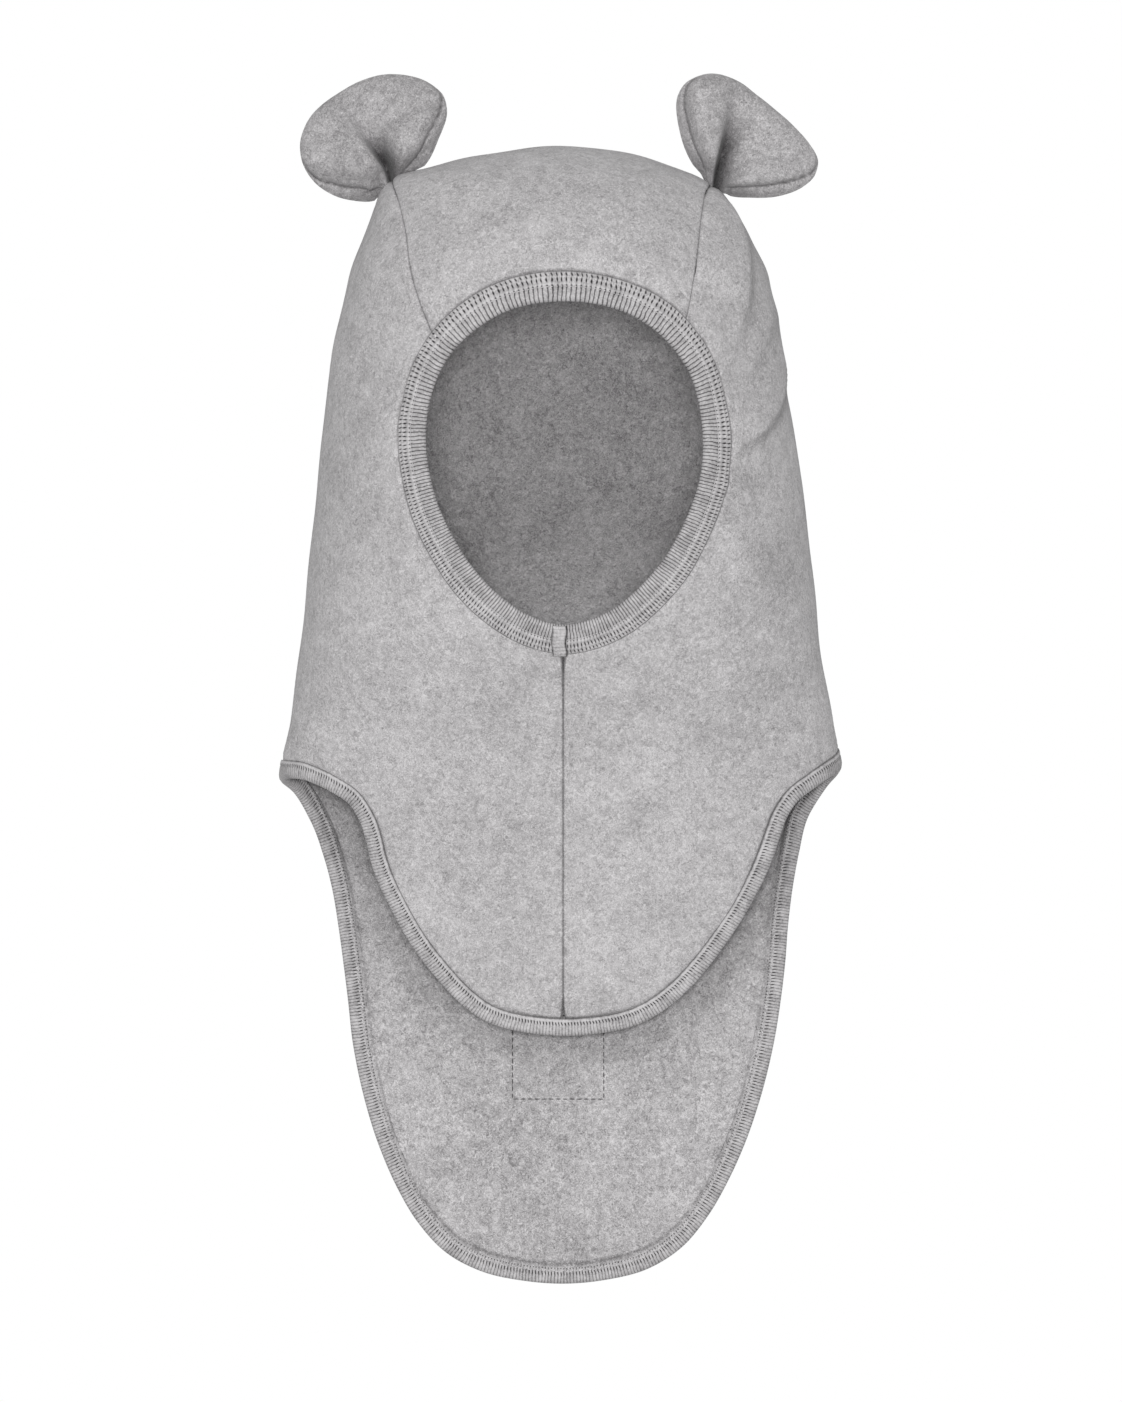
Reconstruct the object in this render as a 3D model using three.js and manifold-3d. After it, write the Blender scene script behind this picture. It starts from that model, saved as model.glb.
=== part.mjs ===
// A baby balaclava of wool fleece with two padded ears, held up in the form that a head gives it.
//
// It is sewn from a crown and back panel, which runs from the forehead over the head and down into the
// back bib, and two side panels, which cover the cheeks and meet in a seam down the front bib. A wide rib
// binding edges the face opening, a narrow one runs round the whole hem, and an ear of two fleece layers
// stands in each crown seam.
//
// Units are millimetres and +Z is up. The face looks along -Y. Left is -X and right is +X, as seen from
// the front. The origin is the inside of the crown, where the top of the head rests.
import * as THREE from "three";
import { mergeVertices } from "three/addons/utils/BufferGeometryUtils.js";
import Module from "manifold-3d";

const wasm = await Module();
wasm.setup();

// ---------------------------------------------------------------- driving dimensions

const FLEECE = 2; // wall of the fleece
const RIB = 0.8; // one layer of the rib that folds over an edge
const SEAM_GAP = 0.3; // clearance between two pieces that are sewn together
const SEAM_DRAW = 0.26; // how far each panel's edge is drawn in from its seam
const FACE_BINDING = 10; // width of the rib round the face
const HEM_BINDING = 6; // width of the rib round the hem
const CROWN_TOP = FLEECE; // the outside of the crown, above the origin

const DOME = 75; // height of the rounded crown
const LAP = 80; // millimetres of crown that one radian of turn over the head takes up
const GIRTH = 75; // millimetres of side that one radian round the head takes up
const RELAX_PASSES = { crown: 12, side: 60 }; // how often each panel's grid is evened out

// How many pieces each stretch of edge is divided into. Panels that share an edge share its points. A
// side panel has as many pieces across as the crown has, of which earToFace lie in front of the ear.
const DIVISIONS = {
  across: 12,
  frontSeam: 6,
  backSeam: 26,
  opening: 14,
  frontHem: 22,
  bibSide: 11,
  earToFace: 4,
};

// Horizontal sections of the outside. Each is a round shape that reaches left and right along X, and
// front and back along Y. A power of 2 is an ellipse, and a higher one is squarer.
const SECTIONS = [
  { z: 2, left: 0, right: 0, front: 0, back: 0, power: 2.1 },
  { z: 0, left: 27, right: 21, front: 17, back: 18, power: 2.1 },
  { z: -4, left: 43, right: 34, front: 30, back: 31, power: 2.1 },
  { z: -9, left: 57.2, right: 47.6, front: 40, back: 43, power: 2.15 },
  { z: -13, left: 61, right: 53, front: 45.5, back: 49.5, power: 2.18 },
  { z: -17, left: 62.6, right: 55.8, front: 50, back: 55, power: 2.2 },
  { z: -29, left: 67, right: 63, front: 60, back: 68, power: 2.25 },
  { z: -42, left: 72.1, right: 69, front: 66, back: 78, power: 2.3 },
  { z: -57, left: 75.2, right: 70.2, front: 69, back: 85, power: 2.3 },
  { z: -76, left: 78, right: 73.6, front: 71, back: 90, power: 2.3 },
  { z: -100, left: 81, right: 78.4, front: 71, back: 90, power: 2.3 },
  { z: -136, left: 84, right: 82.7, front: 66, back: 76, power: 2.25 },
  { z: -162, left: 87, right: 85.4, front: 58, back: 59, power: 2.2 },
  { z: -189, left: 91.3, right: 89.8, front: 45, back: 41, power: 2.1 },
  { z: -204, left: 94, right: 92.6, front: 38, back: 34, power: 2 },
  { z: -230, left: 95, right: 94.5, front: 29, back: 23, power: 2 },
  { z: -260, left: 95, right: 95, front: 19, back: 14, power: 2 },
  { z: -294, left: 95, right: 95, front: 11, back: 7, power: 2 },
  { z: -340, left: 95, right: 95, front: 6, back: 4, power: 2 },
  { z: -385, left: 95, right: 95, front: 4, back: 3, power: 2 },
];

// The egg-shaped face opening, to the folded edge of its binding.
const OPENING = {
  x: 0.6,
  z: -96,
  halfWidth: 46.4,
  top: { height: 45.3, power: 2.15 },
  bottom: { height: 61.8, power: 1.8 },
};
// Where the crown seams meet the binding, in degrees from the top of the opening.
const SEAM_FOOT = { left: 53, right: 47 };

// The crown seams: from the face binding up to the ears, and from there down the back to the corners
// where the front and back bibs part. along is the distance over the head, from the face to the back.
const FRONT_SEAM = [
  { z: -43, left: 50.2, right: 43.6 },
  { z: -26, left: 52.9, right: 45.4 },
  { z: -14, left: 55.6, right: 47.4 },
];
const EAR_AT = { left: 56.6, right: 49.5 };
const BACK_SEAM = [
  { along: 165, left: 54, right: 50 },
  { along: 210, left: 52.5, right: 51.5 },
  { along: 260, left: 51.5, right: 51.5 },
  { along: 305, left: 50, right: 50 },
  { along: 336, left: 50, right: 50 },
  { along: 354, left: 58.5, right: 58.5 },
  { along: 367, left: 74, right: 74 },
];

// The hem, to the folded edge of its binding: the two corners, the edges of the front and back bibs on
// either side, and the lowest points in the middle.
const CORNER = { left: { x: 94.2, z: -208.6 }, right: { x: 92.8, z: -205 } };
const FRONT_HEM = [
  { z: -209, left: 87.5, right: 88 },
  { z: -213, left: 78, right: 82.4 },
  { z: -218, left: 70.8, right: 77 },
  { z: -226, left: 67, right: 73.4 },
  { z: -238, left: 63.8, right: 69 },
  { z: -250, left: 58.4, right: 63 },
  { z: -262, left: 52, right: 55.5 },
  { z: -274, left: 43.2, right: 46.5 },
  { z: -284, left: 33.8, right: 36.3 },
  { z: -290.6, left: 23.4, right: 24.8 },
];
const FRONT_LOW = -294.3;
const BACK_HEM = [
  { z: -215.7, left: 87.9, right: 84.6 },
  { z: -229, left: 82.3, right: 80.2 },
  { z: -249, left: 76.8, right: 76.3 },
  { z: -275.7, left: 72.8, right: 73.7 },
  { z: -302, left: 69.4, right: 69.3 },
  { z: -329, left: 62.2, right: 61.2 },
  { z: -349, left: 53.2, right: 51.6 },
  { z: -362.3, left: 43.7, right: 42.2 },
  { z: -371.5, left: 31, right: 29.6 },
];
const BACK_LOW = -377;
// Where the side edge of the back bib passes into its round bottom edge, as a share of the way down.
const BIB_TURN = 0.62;

// Soft folds of the cloth: ridges, or hollows where the height is negative. Each runs down a line of the
// front view, given as points of x and z, and is as wide as faceWide on the side of the line that looks to
// the face and as wide as outWide on the other. A narrow side makes a step. ends is the share of the line
// over which it rises at its start and sinks at its end.
const FOLDS = [
  {
    line: [[72.4, -58], [72.2, -72], [71, -85], [66.3, -93], [59.7, -98], [53, -105]],
    faceWide: 8,
    outWide: 2.2,
    height: 2.4,
    ends: [0, 0.3],
  },
  {
    line: [[47, -9], [54.7, -20.7], [59, -32.3], [60, -45.7], [58.3, -59], [54, -74]],
    faceWide: 7,
    outWide: 3,
    height: 1.7,
    ends: [0.2, 0.4],
  },
  { line: [[59.5, -84], [63, -87]], faceWide: 2.5, outWide: 2.5, height: -0.9, ends: [0.3, 0.3] },
  { line: [[-66, -62], [-56, -92]], faceWide: 9, outWide: 9, height: -1.2, ends: [0.3, 0.3] },
];
// The folds fade out between these two depths, where the cloth turns to the back.
const FOLD_FADE = { full: 2, none: 26 };

// The ears, each a fan of rays from the point where it is pinched into the crown seam. angle is measured
// from straight up, outwards, in degrees; reach is the ray's length as the front view shows it; near and
// far are how far forward the cloth lies close to the root and at the rim. Both ears have two lobes with a
// valley between them.
const EARS = {
  left: [
    { angle: -64, reach: 11.5, near: 0, far: 0 },
    { angle: -48, reach: 20, near: 2, far: 2 },
    { angle: -38, reach: 29.2, near: 5, far: 4 },
    { angle: -28, reach: 33.6, near: 6, far: 3 },
    { angle: -12, reach: 35.4, near: 6, far: 1 },
    { angle: 4, reach: 35.7, near: 2, far: 0 },
    { angle: 18, reach: 35.2, near: -3, far: -1 },
    { angle: 33, reach: 34.6, near: 0, far: 0 },
    { angle: 50, reach: 34.9, near: 6, far: 3 },
    { angle: 64, reach: 34, near: 8, far: 5 },
    { angle: 76, reach: 31.6, near: 8, far: 6 },
    { angle: 90, reach: 26.7, near: 6, far: 5 },
    { angle: 102, reach: 21.2, near: 5, far: 4 },
    { angle: 118, reach: 14.2, near: 2, far: 2 },
    { angle: 136, reach: 9, near: -1, far: -1 },
  ],
  right: [
    { angle: -42, reach: 9, near: 0, far: 0 },
    { angle: -31, reach: 20.5, near: 3, far: 2 },
    { angle: -21, reach: 31.8, near: 6, far: 3 },
    { angle: -12, reach: 35.8, near: 8, far: 4 },
    { angle: 0, reach: 37.3, near: 9, far: 3 },
    { angle: 14, reach: 36, near: 8, far: 1 },
    { angle: 28, reach: 33.9, near: 4, far: 0 },
    { angle: 40, reach: 33.8, near: -2, far: 0 },
    { angle: 54, reach: 34.5, near: -3, far: 1 },
    { angle: 67, reach: 35.8, near: 2, far: 3 },
    { angle: 76, reach: 36.4, near: 6, far: 5 },
    { angle: 84, reach: 34.7, near: 7, far: 6 },
    { angle: 91, reach: 30.4, near: 7, far: 6 },
    { angle: 100, reach: 21.8, near: 5, far: 5 },
    { angle: 108, reach: 13.2, near: 3, far: 3 },
    { angle: 119, reach: 7, near: 0, far: 0 },
  ],
};
// The front layer stops short of the rim, which the back layer wraps. Both are thickest in the middle.
// Close to the root they gather into a stem that goes down into the seam.
const EAR = { root: 2.6, near: 10, rim: 2.6, thin: 1.9, puff: 1.4, gather: 0.1, part: 0.5 };
const EAR_STEM = { from: 6, drop: 8, sink: 0.8 };
const EAR_DIVISIONS = { rays: 16, steps: 7 };

// How finely the form is worked out: the step that a slope is taken over, how often a point is brought
// closer to the cloth or a distance is halved, how far a ray goes, and how sharply a line may turn.
const SLOPE_STEP = 0.02;
const SETTLE_ROUNDS = 6;
const HALVINGS = 40;
const RAY_LENGTH = 220;
const SHARPEST_TURN = 0.5;
const EDGE_SAMPLES = 200;
const MERGE_DISTANCE = 0.0001;

// ---------------------------------------------------------------- tables and curves

// Reads a column of a table at a place, as a smooth curve through the rows that doesn't overshoot.
function smoothColumn(rows, place, column) {
  const at = rows.map(place);
  const value = rows.map((row) => row[column]);
  const rise = at.slice(1).map((x, i) => (value[i + 1] - value[i]) / (x - at[i]));
  const slope = at.map((_, i) => {
    if (i === 0) return rise[0];
    if (i === at.length - 1) return rise[i - 1];
    if (rise[i - 1] * rise[i] <= 0) return 0;
    return (2 * rise[i - 1] * rise[i]) / (rise[i - 1] + rise[i]);
  });
  return (x) => {
    let i = 0;
    while (i < at.length - 2 && x > at[i + 1]) i += 1;
    const step = at[i + 1] - at[i];
    const t = THREE.MathUtils.clamp((x - at[i]) / step, 0, 1);
    const bend = (t * t * (3 - 2 * t)) * (value[i + 1] - value[i]);
    const pull = t * (1 - t) * ((1 - t) * slope[i] - t * slope[i + 1]) * step;
    return value[i] + bend + pull;
  };
}

// Widths grow with the square root of the distance below the crown, so the tables are read by that.
const fall = (z) => Math.sqrt(Math.max(CROWN_TOP - z, 0));
const size = Object.fromEntries(
  ["left", "right", "front", "back", "power"].map((column) => [
    column,
    smoothColumn(SECTIONS, (row) => fall(row.z), column),
  ]),
);

// A smooth curve through points of the cloth.
const curveThrough = (points) => new THREE.CatmullRomCurve3(points, false, "centripetal");

// Points at even distances along a curve, with both ends.
const evenly = (curve, pieces) => curve.getSpacedPoints(pieces);

// ---------------------------------------------------------------- the cloth's outside

// 0 on the outside surface, negative within it and positive beyond it.
function beyond(p) {
  const depth = fall(p.z);
  const halfX = p.x < 0 ? size.left(depth) : size.right(depth);
  const halfY = p.y < 0 ? size.front(depth) : size.back(depth);
  const power = size.power(depth);
  return Math.abs(p.x / halfX) ** power + Math.abs(p.y / halfY) ** power - 1;
}

// The slope of that measure, which points straight out of the cloth.
function slopeAt(p) {
  const along = (axis) => {
    const step = new THREE.Vector3().setComponent(axis, SLOPE_STEP);
    return (beyond(p.clone().add(step)) - beyond(p.clone().sub(step))) / (2 * SLOPE_STEP);
  };
  return new THREE.Vector3(along(0), along(1), along(2));
}

const normalAt = (p) => slopeAt(p).normalize();

// Brings a point that is near the cloth onto it.
function settle(p) {
  const q = p.clone();
  for (let i = 0; i < SETTLE_ROUNDS; i += 1) {
    const slope = slopeAt(q);
    q.addScaledVector(slope, -beyond(q) / slope.lengthSq());
  }
  return q;
}

// The first point of the cloth from a point inside it, in a given direction.
function shoot(from, direction) {
  let near = 0;
  let far = RAY_LENGTH;
  for (let i = 0; i < HALVINGS; i += 1) {
    const middle = (near + far) / 2;
    const p = from.clone().addScaledVector(direction, middle);
    if (p.z < CROWN_TOP && beyond(p) < 0) near = middle;
    else far = middle;
  }
  return from.clone().addScaledVector(direction, near);
}

// The point of the front or back of the cloth that lies at x and z in the front view.
function clothAt(x, z, face) {
  const depth = fall(z);
  const halfX = x < 0 ? size.left(depth) : size.right(depth);
  const halfY = face === "front" ? -size.front(depth) : size.back(depth);
  const power = size.power(depth);
  const share = Math.max(1 - Math.abs(x / halfX) ** power, 0);
  return new THREE.Vector3(x, halfY * share ** (1 / power), z);
}

const FOLD_SAMPLES = 40;
const foldLines = FOLDS.map(({ line }) =>
  new THREE.SplineCurve(line.map(([x, z]) => new THREE.Vector2(x, z))).getPoints(FOLD_SAMPLES),
);

// How high a fold stands at a point of the front view.
function heightOfFold(at, fold, points) {
  const distances = points.map((p) => p.distanceTo(at));
  const nearest = distances.indexOf(Math.min(...distances));
  const along = points[Math.min(nearest + 1, FOLD_SAMPLES)].clone().sub(points[Math.max(nearest - 1, 0)]);
  const outside = along.cross(at.clone().sub(points[nearest])) * Math.sign(at.x) > 0;
  const wide = outside ? fold.outWide : fold.faceWide;
  const eased = (share, over) => (over ? THREE.MathUtils.smoothstep(share, 0, over) : 1);
  const share = nearest / FOLD_SAMPLES;
  const ends = eased(share, fold.ends[0]) * eased(1 - share, fold.ends[1]);
  return fold.height * ends * Math.exp(-((distances[nearest] / wide) ** 2));
}

// How far the folds lift the cloth at a point.
function foldHeight(p) {
  const fade = 1 - THREE.MathUtils.smoothstep(p.y, FOLD_FADE.full, FOLD_FADE.none);
  const at = new THREE.Vector2(p.x, p.z);
  return fade * FOLDS.reduce((sum, fold, k) => sum + heightOfFold(at, fold, foldLines[k]), 0);
}

// A point of the cloth, moved out of its surface by a distance, folds included.
function raised(p, distance) {
  return p.clone().addScaledVector(normalAt(p), foldHeight(p) + distance);
}

// The way off a line over the cloth, square to it at a point, so that its two stretches both move by the
// distance. A corner moves further than a straight stretch.
function squareTo(before, p, after, distance) {
  const way = (from, to) => (from === to ? new THREE.Vector3() : to.clone().sub(from).normalize());
  const [come, go] = [way(before, p), way(p, after)];
  const travel = come.clone().add(go);
  const straight = come.lengthSq() && go.lengthSq() ? travel.length() / 2 : 1;
  const aside = new THREE.Vector3().crossVectors(normalAt(p), travel);
  return aside.setLength(distance / Math.max(straight, SHARPEST_TURN));
}

// ---------------------------------------------------------------- flat charts of the cloth

// The crown and back: x, and the distance along the lap over the head and down the back.
const crownChart = {
  to(p) {
    const turn = Math.atan2(p.z + DOME, -p.y);
    return new THREE.Vector2(p.x, p.z < -DOME ? Math.PI * LAP - DOME - p.z : turn * LAP);
  },
  from(c) {
    const turn = c.y / LAP;
    if (turn > Math.PI) return clothAt(c.x, Math.PI * LAP - DOME - c.y, "back");
    const direction = new THREE.Vector3(0, -Math.cos(turn), Math.sin(turn));
    return shoot(new THREE.Vector3(c.x, 0, -DOME), direction);
  },
};

// A side: the distance round the section from the middle of the side, negative towards the front, and the
// distance down from the crown.
const sideChart = (sign) => ({
  to(p) {
    const depth = fall(p.z);
    const power = size.power(depth) / 2;
    const halfX = p.x < 0 ? size.left(depth) : size.right(depth);
    const halfY = p.y < 0 ? size.front(depth) : size.back(depth);
    const across = Math.abs(p.x / halfX) ** power;
    const forth = Math.sign(p.y) * Math.abs(p.y / halfY) ** power;
    const drop = CROWN_TOP - p.z;
    const low = DOME * (Math.PI / 2 - 1) + drop;
    return new THREE.Vector2(
      GIRTH * Math.atan2(forth, across),
      drop < DOME ? DOME * Math.acos(1 - drop / DOME) : low,
    );
  },
  from(c) {
    const dome = c.y < (DOME * Math.PI) / 2;
    const drop = dome ? DOME * (1 - Math.cos(c.y / DOME)) : c.y - DOME * (Math.PI / 2 - 1);
    const depth = Math.sqrt(drop);
    const power = 2 / size.power(depth);
    const halfX = sign < 0 ? size.left(depth) : size.right(depth);
    const halfY = c.x < 0 ? size.front(depth) : size.back(depth);
    return new THREE.Vector3(
      sign * halfX * Math.abs(Math.cos(c.x / GIRTH)) ** power,
      Math.sign(c.x) * halfY * Math.abs(Math.sin(c.x / GIRTH)) ** power,
      CROWN_TOP - drop,
    );
  },
});

// Evens out a flat grid between its fixed edges, so that it doesn't fold over itself where an edge bends
// inwards. Each inner point moves to where the lines of the grid stay smooth.
function relaxed(grid, passes) {
  const at = grid.map((row) => row.map((c) => c.clone()));
  const blend = (terms) =>
    terms.reduce((sum, [c, weight]) => sum.addScaledVector(c, weight), new THREE.Vector2());
  for (let pass = 0; pass < passes; pass += 1)
    for (let j = 1; j + 1 < at.length; j += 1)
      for (let i = 1; i + 1 < at[j].length; i += 1) {
        const across = at[j][i + 1].clone().sub(at[j][i - 1]);
        const down = at[j + 1][i].clone().sub(at[j - 1][i]);
        const alpha = down.lengthSq();
        const gamma = across.lengthSq();
        const skew = across.dot(down) / 2;
        at[j][i] = blend([
          [at[j][i + 1], alpha],
          [at[j][i - 1], alpha],
          [at[j + 1][i], gamma],
          [at[j - 1][i], gamma],
          [at[j + 1][i + 1], -skew],
          [at[j - 1][i - 1], -skew],
          [at[j + 1][i - 1], skew],
          [at[j - 1][i + 1], skew],
        ]).divideScalar(2 * (alpha + gamma));
      }
  return at;
}

// Fills the space between four edges, each a list of points: bottom and top have the same number, and so
// have left and right, and the lists meet at the corners.
function filled(chart, bottom, top, left, right, passes) {
  const [b, t, l, r] = [bottom, top, left, right].map((edge) => edge.map((p) => chart.to(p)));
  const columns = b.length - 1;
  const rows = l.length - 1;
  const flat = l.map((_, j) =>
    b.map((__, i) => {
      const u = i / columns;
      const v = j / rows;
      return new THREE.Vector2()
        .addScaledVector(b[i], 1 - v)
        .addScaledVector(t[i], v)
        .addScaledVector(l[j], 1 - u)
        .addScaledVector(r[j], u)
        .addScaledVector(b[0], -(1 - u) * (1 - v))
        .addScaledVector(b[columns], -u * (1 - v))
        .addScaledVector(t[0], -(1 - u) * v)
        .addScaledVector(t[columns], -u * v);
    }),
  );
  return relaxed(flat, passes).map((row, j) =>
    row.map((c, i) => {
      if (j === 0) return bottom[i];
      if (j === rows) return top[i];
      if (i === 0) return left[j];
      if (i === columns) return right[j];
      return chart.from(c);
    }),
  );
}

// ---------------------------------------------------------------- closed solids

// A closed mesh from rings of points and triangles, turned so that its faces point out.
function closedGeometry(points, triangles) {
  const volume = triangles.reduce((sum, [a, b, c]) => {
    const cross = new THREE.Vector3().crossVectors(points[b], points[c]);
    return sum + points[a].dot(cross);
  }, 0);
  const turned = triangles.map(([a, b, c]) => (volume < 0 ? [a, c, b] : [a, b, c]));
  const geometry = new THREE.BufferGeometry().setFromPoints(points);
  geometry.setIndex(turned.flat());
  geometry.computeVertexNormals();
  return geometry;
}

const quad = (a, b, c, d) => [
  [a, b, c],
  [a, c, d],
];

// The same, split along its shorter diagonal, which keeps a bent wall smooth.
function shortQuad(points, a, b, c, d) {
  const straight = points[a].distanceTo(points[c]) <= points[b].distanceTo(points[d]);
  return straight ? quad(a, b, c, d) : quad(b, c, d, a);
}

// A wall between two grids of points of the same shape: its outside and its inside.
function wallGeometry(outside, inside) {
  const rows = outside.length;
  const columns = outside[0].length;
  const points = [...outside.flat(), ...inside.flat()];
  const at = (layer, j, i) => (layer * rows + j) * columns + i;
  const cell = (layer, j, i) => [
    at(layer, j, i),
    at(layer, j, i + 1),
    at(layer, j + 1, i + 1),
    at(layer, j + 1, i),
  ];
  const edge = (j, i, nextJ, nextI) =>
    quad(at(0, j, i), at(1, j, i), at(1, nextJ, nextI), at(0, nextJ, nextI));
  const triangles = [];
  for (let j = 0; j + 1 < rows; j += 1)
    for (let i = 0; i + 1 < columns; i += 1) {
      triangles.push(...shortQuad(points, ...cell(0, j, i)));
      triangles.push(...shortQuad(points, ...cell(1, j, i).reverse()));
    }
  for (let i = 0; i + 1 < columns; i += 1) {
    triangles.push(...edge(0, i, 0, i + 1));
    triangles.push(...edge(rows - 1, i + 1, rows - 1, i));
  }
  for (let j = 0; j + 1 < rows; j += 1) {
    triangles.push(...edge(j + 1, 0, j, 0));
    triangles.push(...edge(j, columns - 1, j + 1, columns - 1));
  }
  return closedGeometry(points, triangles);
}

// A closed band: rings of points, each the outline of its section, joined in a loop.
function bandGeometry(rings) {
  const around = rings[0].length;
  const points = rings.flat();
  const triangles = rings.flatMap((_, k) => {
    const next = (k + 1) % rings.length;
    return rings[0].flatMap((__, i) => {
      const turn = (i + 1) % around;
      return quad(k * around + i, next * around + i, next * around + turn, k * around + turn);
    });
  });
  return closedGeometry(points, triangles);
}

// Draws the edge of a grid in by part of the seam gap, so that sewn pieces don't touch.
function drawnIn(grid) {
  const rows = grid.length - 1;
  const columns = grid[0].length - 1;
  const within = (k, last) => THREE.MathUtils.clamp(k, 0, last);
  const shift = (j, i, dj, di) => {
    const before = grid[within(j - dj, rows)][within(i - di, columns)];
    const after = grid[within(j + dj, rows)][within(i + di, columns)];
    const inner = dj ? grid[j][i === 0 ? 1 : i - 1] : grid[j === 0 ? 1 : j - 1][i];
    const aside = squareTo(before, grid[j][i], after, SEAM_DRAW);
    return aside.dot(inner.clone().sub(grid[j][i])) < 0 ? aside.negate() : aside;
  };
  return grid.map((row, j) =>
    row.map((p, i) => {
      const moved = p.clone();
      if (j === 0 || j === rows) moved.add(shift(j, i, 0, 1));
      if (i === 0 || i === columns) moved.add(shift(j, i, 1, 0));
      return j % rows && i % columns ? p : settle(moved);
    }),
  );
}

// A fleece panel over a grid of points of the cloth's outside.
function panelGeometry(grid) {
  const kept = drawnIn(grid);
  const layer = (distance) => kept.map((row) => row.map((p) => raised(p, distance)));
  return wallGeometry(layer(0), layer(-FLEECE));
}

// ---------------------------------------------------------------- edges and seams

// A closed loop's points moved sideways over the cloth by a distance: positive to the left of travel,
// seen from outside.
function sideways(loop, distance) {
  const n = loop.length;
  return loop.map((p, k) =>
    settle(p.clone().add(squareTo(loop[(k - 1 + n) % n], p, loop[(k + 1) % n], distance))),
  );
}

// The folded edge of the face opening, clockwise from the top as seen from the front.
function openingEdge(degrees) {
  const turn = THREE.MathUtils.degToRad(degrees);
  const half = Math.cos(turn) > 0 ? OPENING.top : OPENING.bottom;
  const round = (value) => Math.sign(value) * Math.abs(value) ** (2 / half.power);
  const x = OPENING.x + OPENING.halfWidth * round(Math.sin(turn));
  const z = OPENING.z + half.height * round(Math.cos(turn));
  return clothAt(x, z, "front");
}

// Degrees from the top of the opening at even distances between two places of its edge.
function openingStations(from, to, pieces) {
  const degrees = Array.from({ length: EDGE_SAMPLES + 1 }, (_, k) =>
    THREE.MathUtils.lerp(from, to, k / EDGE_SAMPLES),
  );
  const points = degrees.map(openingEdge);
  const run = [0];
  for (let k = 1; k <= EDGE_SAMPLES; k += 1) run.push(run[k - 1] + points[k].distanceTo(points[k - 1]));
  return Array.from({ length: pieces + 1 }, (_, k) => {
    if (k === pieces) return to;
    const wanted = (run[EDGE_SAMPLES] * k) / pieces;
    const after = Math.max(run.findIndex((d) => d >= wanted), 1);
    const share = (wanted - run[after - 1]) / (run[after] - run[after - 1]);
    return THREE.MathUtils.lerp(degrees[after - 1], degrees[after], share);
  });
}

const openingDegrees = {
  crown: openingStations(-SEAM_FOOT.left, SEAM_FOOT.right, DIVISIONS.across),
  right: openingStations(SEAM_FOOT.right, 180, DIVISIONS.opening),
  left: openingStations(180, 360 - SEAM_FOOT.left, DIVISIONS.opening),
};
const openingFold = [
  ...openingDegrees.crown.slice(0, -1),
  ...openingDegrees.right.slice(0, -1),
  ...openingDegrees.left.slice(0, -1),
].map(openingEdge);
const openingRim = sideways(openingFold, FACE_BINDING);
const rimStretch = (first, pieces) =>
  Array.from({ length: pieces + 1 }, (_, k) => openingRim[(first + k) % openingRim.length]);
const crownRim = rimStretch(0, DIVISIONS.across);
const rightRim = rimStretch(DIVISIONS.across, DIVISIONS.opening);
const leftRim = rimStretch(DIVISIONS.across + DIVISIONS.opening, DIVISIONS.opening).reverse();

// The hem, from the left corner under the front bib to the right corner, and back under the back bib.
const signOf = (side) => (side === "left" ? -1 : 1);
const hemColumn = (rows, side, face) => rows.map((row) => clothAt(signOf(side) * row[side], row.z, face));
const cornerPoint = (side) => clothAt(signOf(side) * CORNER[side].x, CORNER[side].z, "front");
function hemCurve(rows, lowest, face) {
  return curveThrough([
    cornerPoint("left"),
    ...hemColumn(rows, "left", face),
    clothAt(0, lowest, face),
    ...hemColumn(rows, "right", face).reverse(),
    cornerPoint("right"),
  ]);
}
const frontFold = hemCurve(FRONT_HEM, FRONT_LOW, "front");
const backFold = hemCurve(BACK_HEM, BACK_LOW, "back");

// Points between two shares of a curve's length.
function stretch(curve, from, to, pieces) {
  return Array.from({ length: pieces + 1 }, (_, k) => {
    const share = THREE.MathUtils.lerp(from, to, k / pieces);
    return settle(curve.getPointAt(share));
  });
}
const frontPieces = DIVISIONS.frontHem;
const turnShare = BIB_TURN / 2;
const hemFold = [
  ...stretch(frontFold, 0, 0.5, frontPieces).slice(0, -1),
  ...stretch(frontFold, 0.5, 1, frontPieces).slice(0, -1),
  ...stretch(backFold, 1, 1 - turnShare, DIVISIONS.bibSide).slice(0, -1),
  ...stretch(backFold, 1 - turnShare, turnShare, DIVISIONS.across).slice(0, -1),
  ...stretch(backFold, turnShare, 0, DIVISIONS.bibSide).slice(0, -1),
];
const hemRim = sideways(hemFold, HEM_BINDING);
const hemStretch = (first, pieces) =>
  Array.from({ length: pieces + 1 }, (_, k) => hemRim[(first + k) % hemRim.length]);
const leftFrontHem = hemStretch(0, frontPieces);
const rightFrontHem = hemStretch(frontPieces, frontPieces).reverse();
const rightBibSide = hemStretch(2 * frontPieces, DIVISIONS.bibSide);
const bibBottom = hemStretch(2 * frontPieces + DIVISIONS.bibSide, DIVISIONS.across).reverse();
const leftBibSide = hemStretch(
  2 * frontPieces + DIVISIONS.bibSide + DIVISIONS.across,
  DIVISIONS.bibSide,
).reverse();

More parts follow.
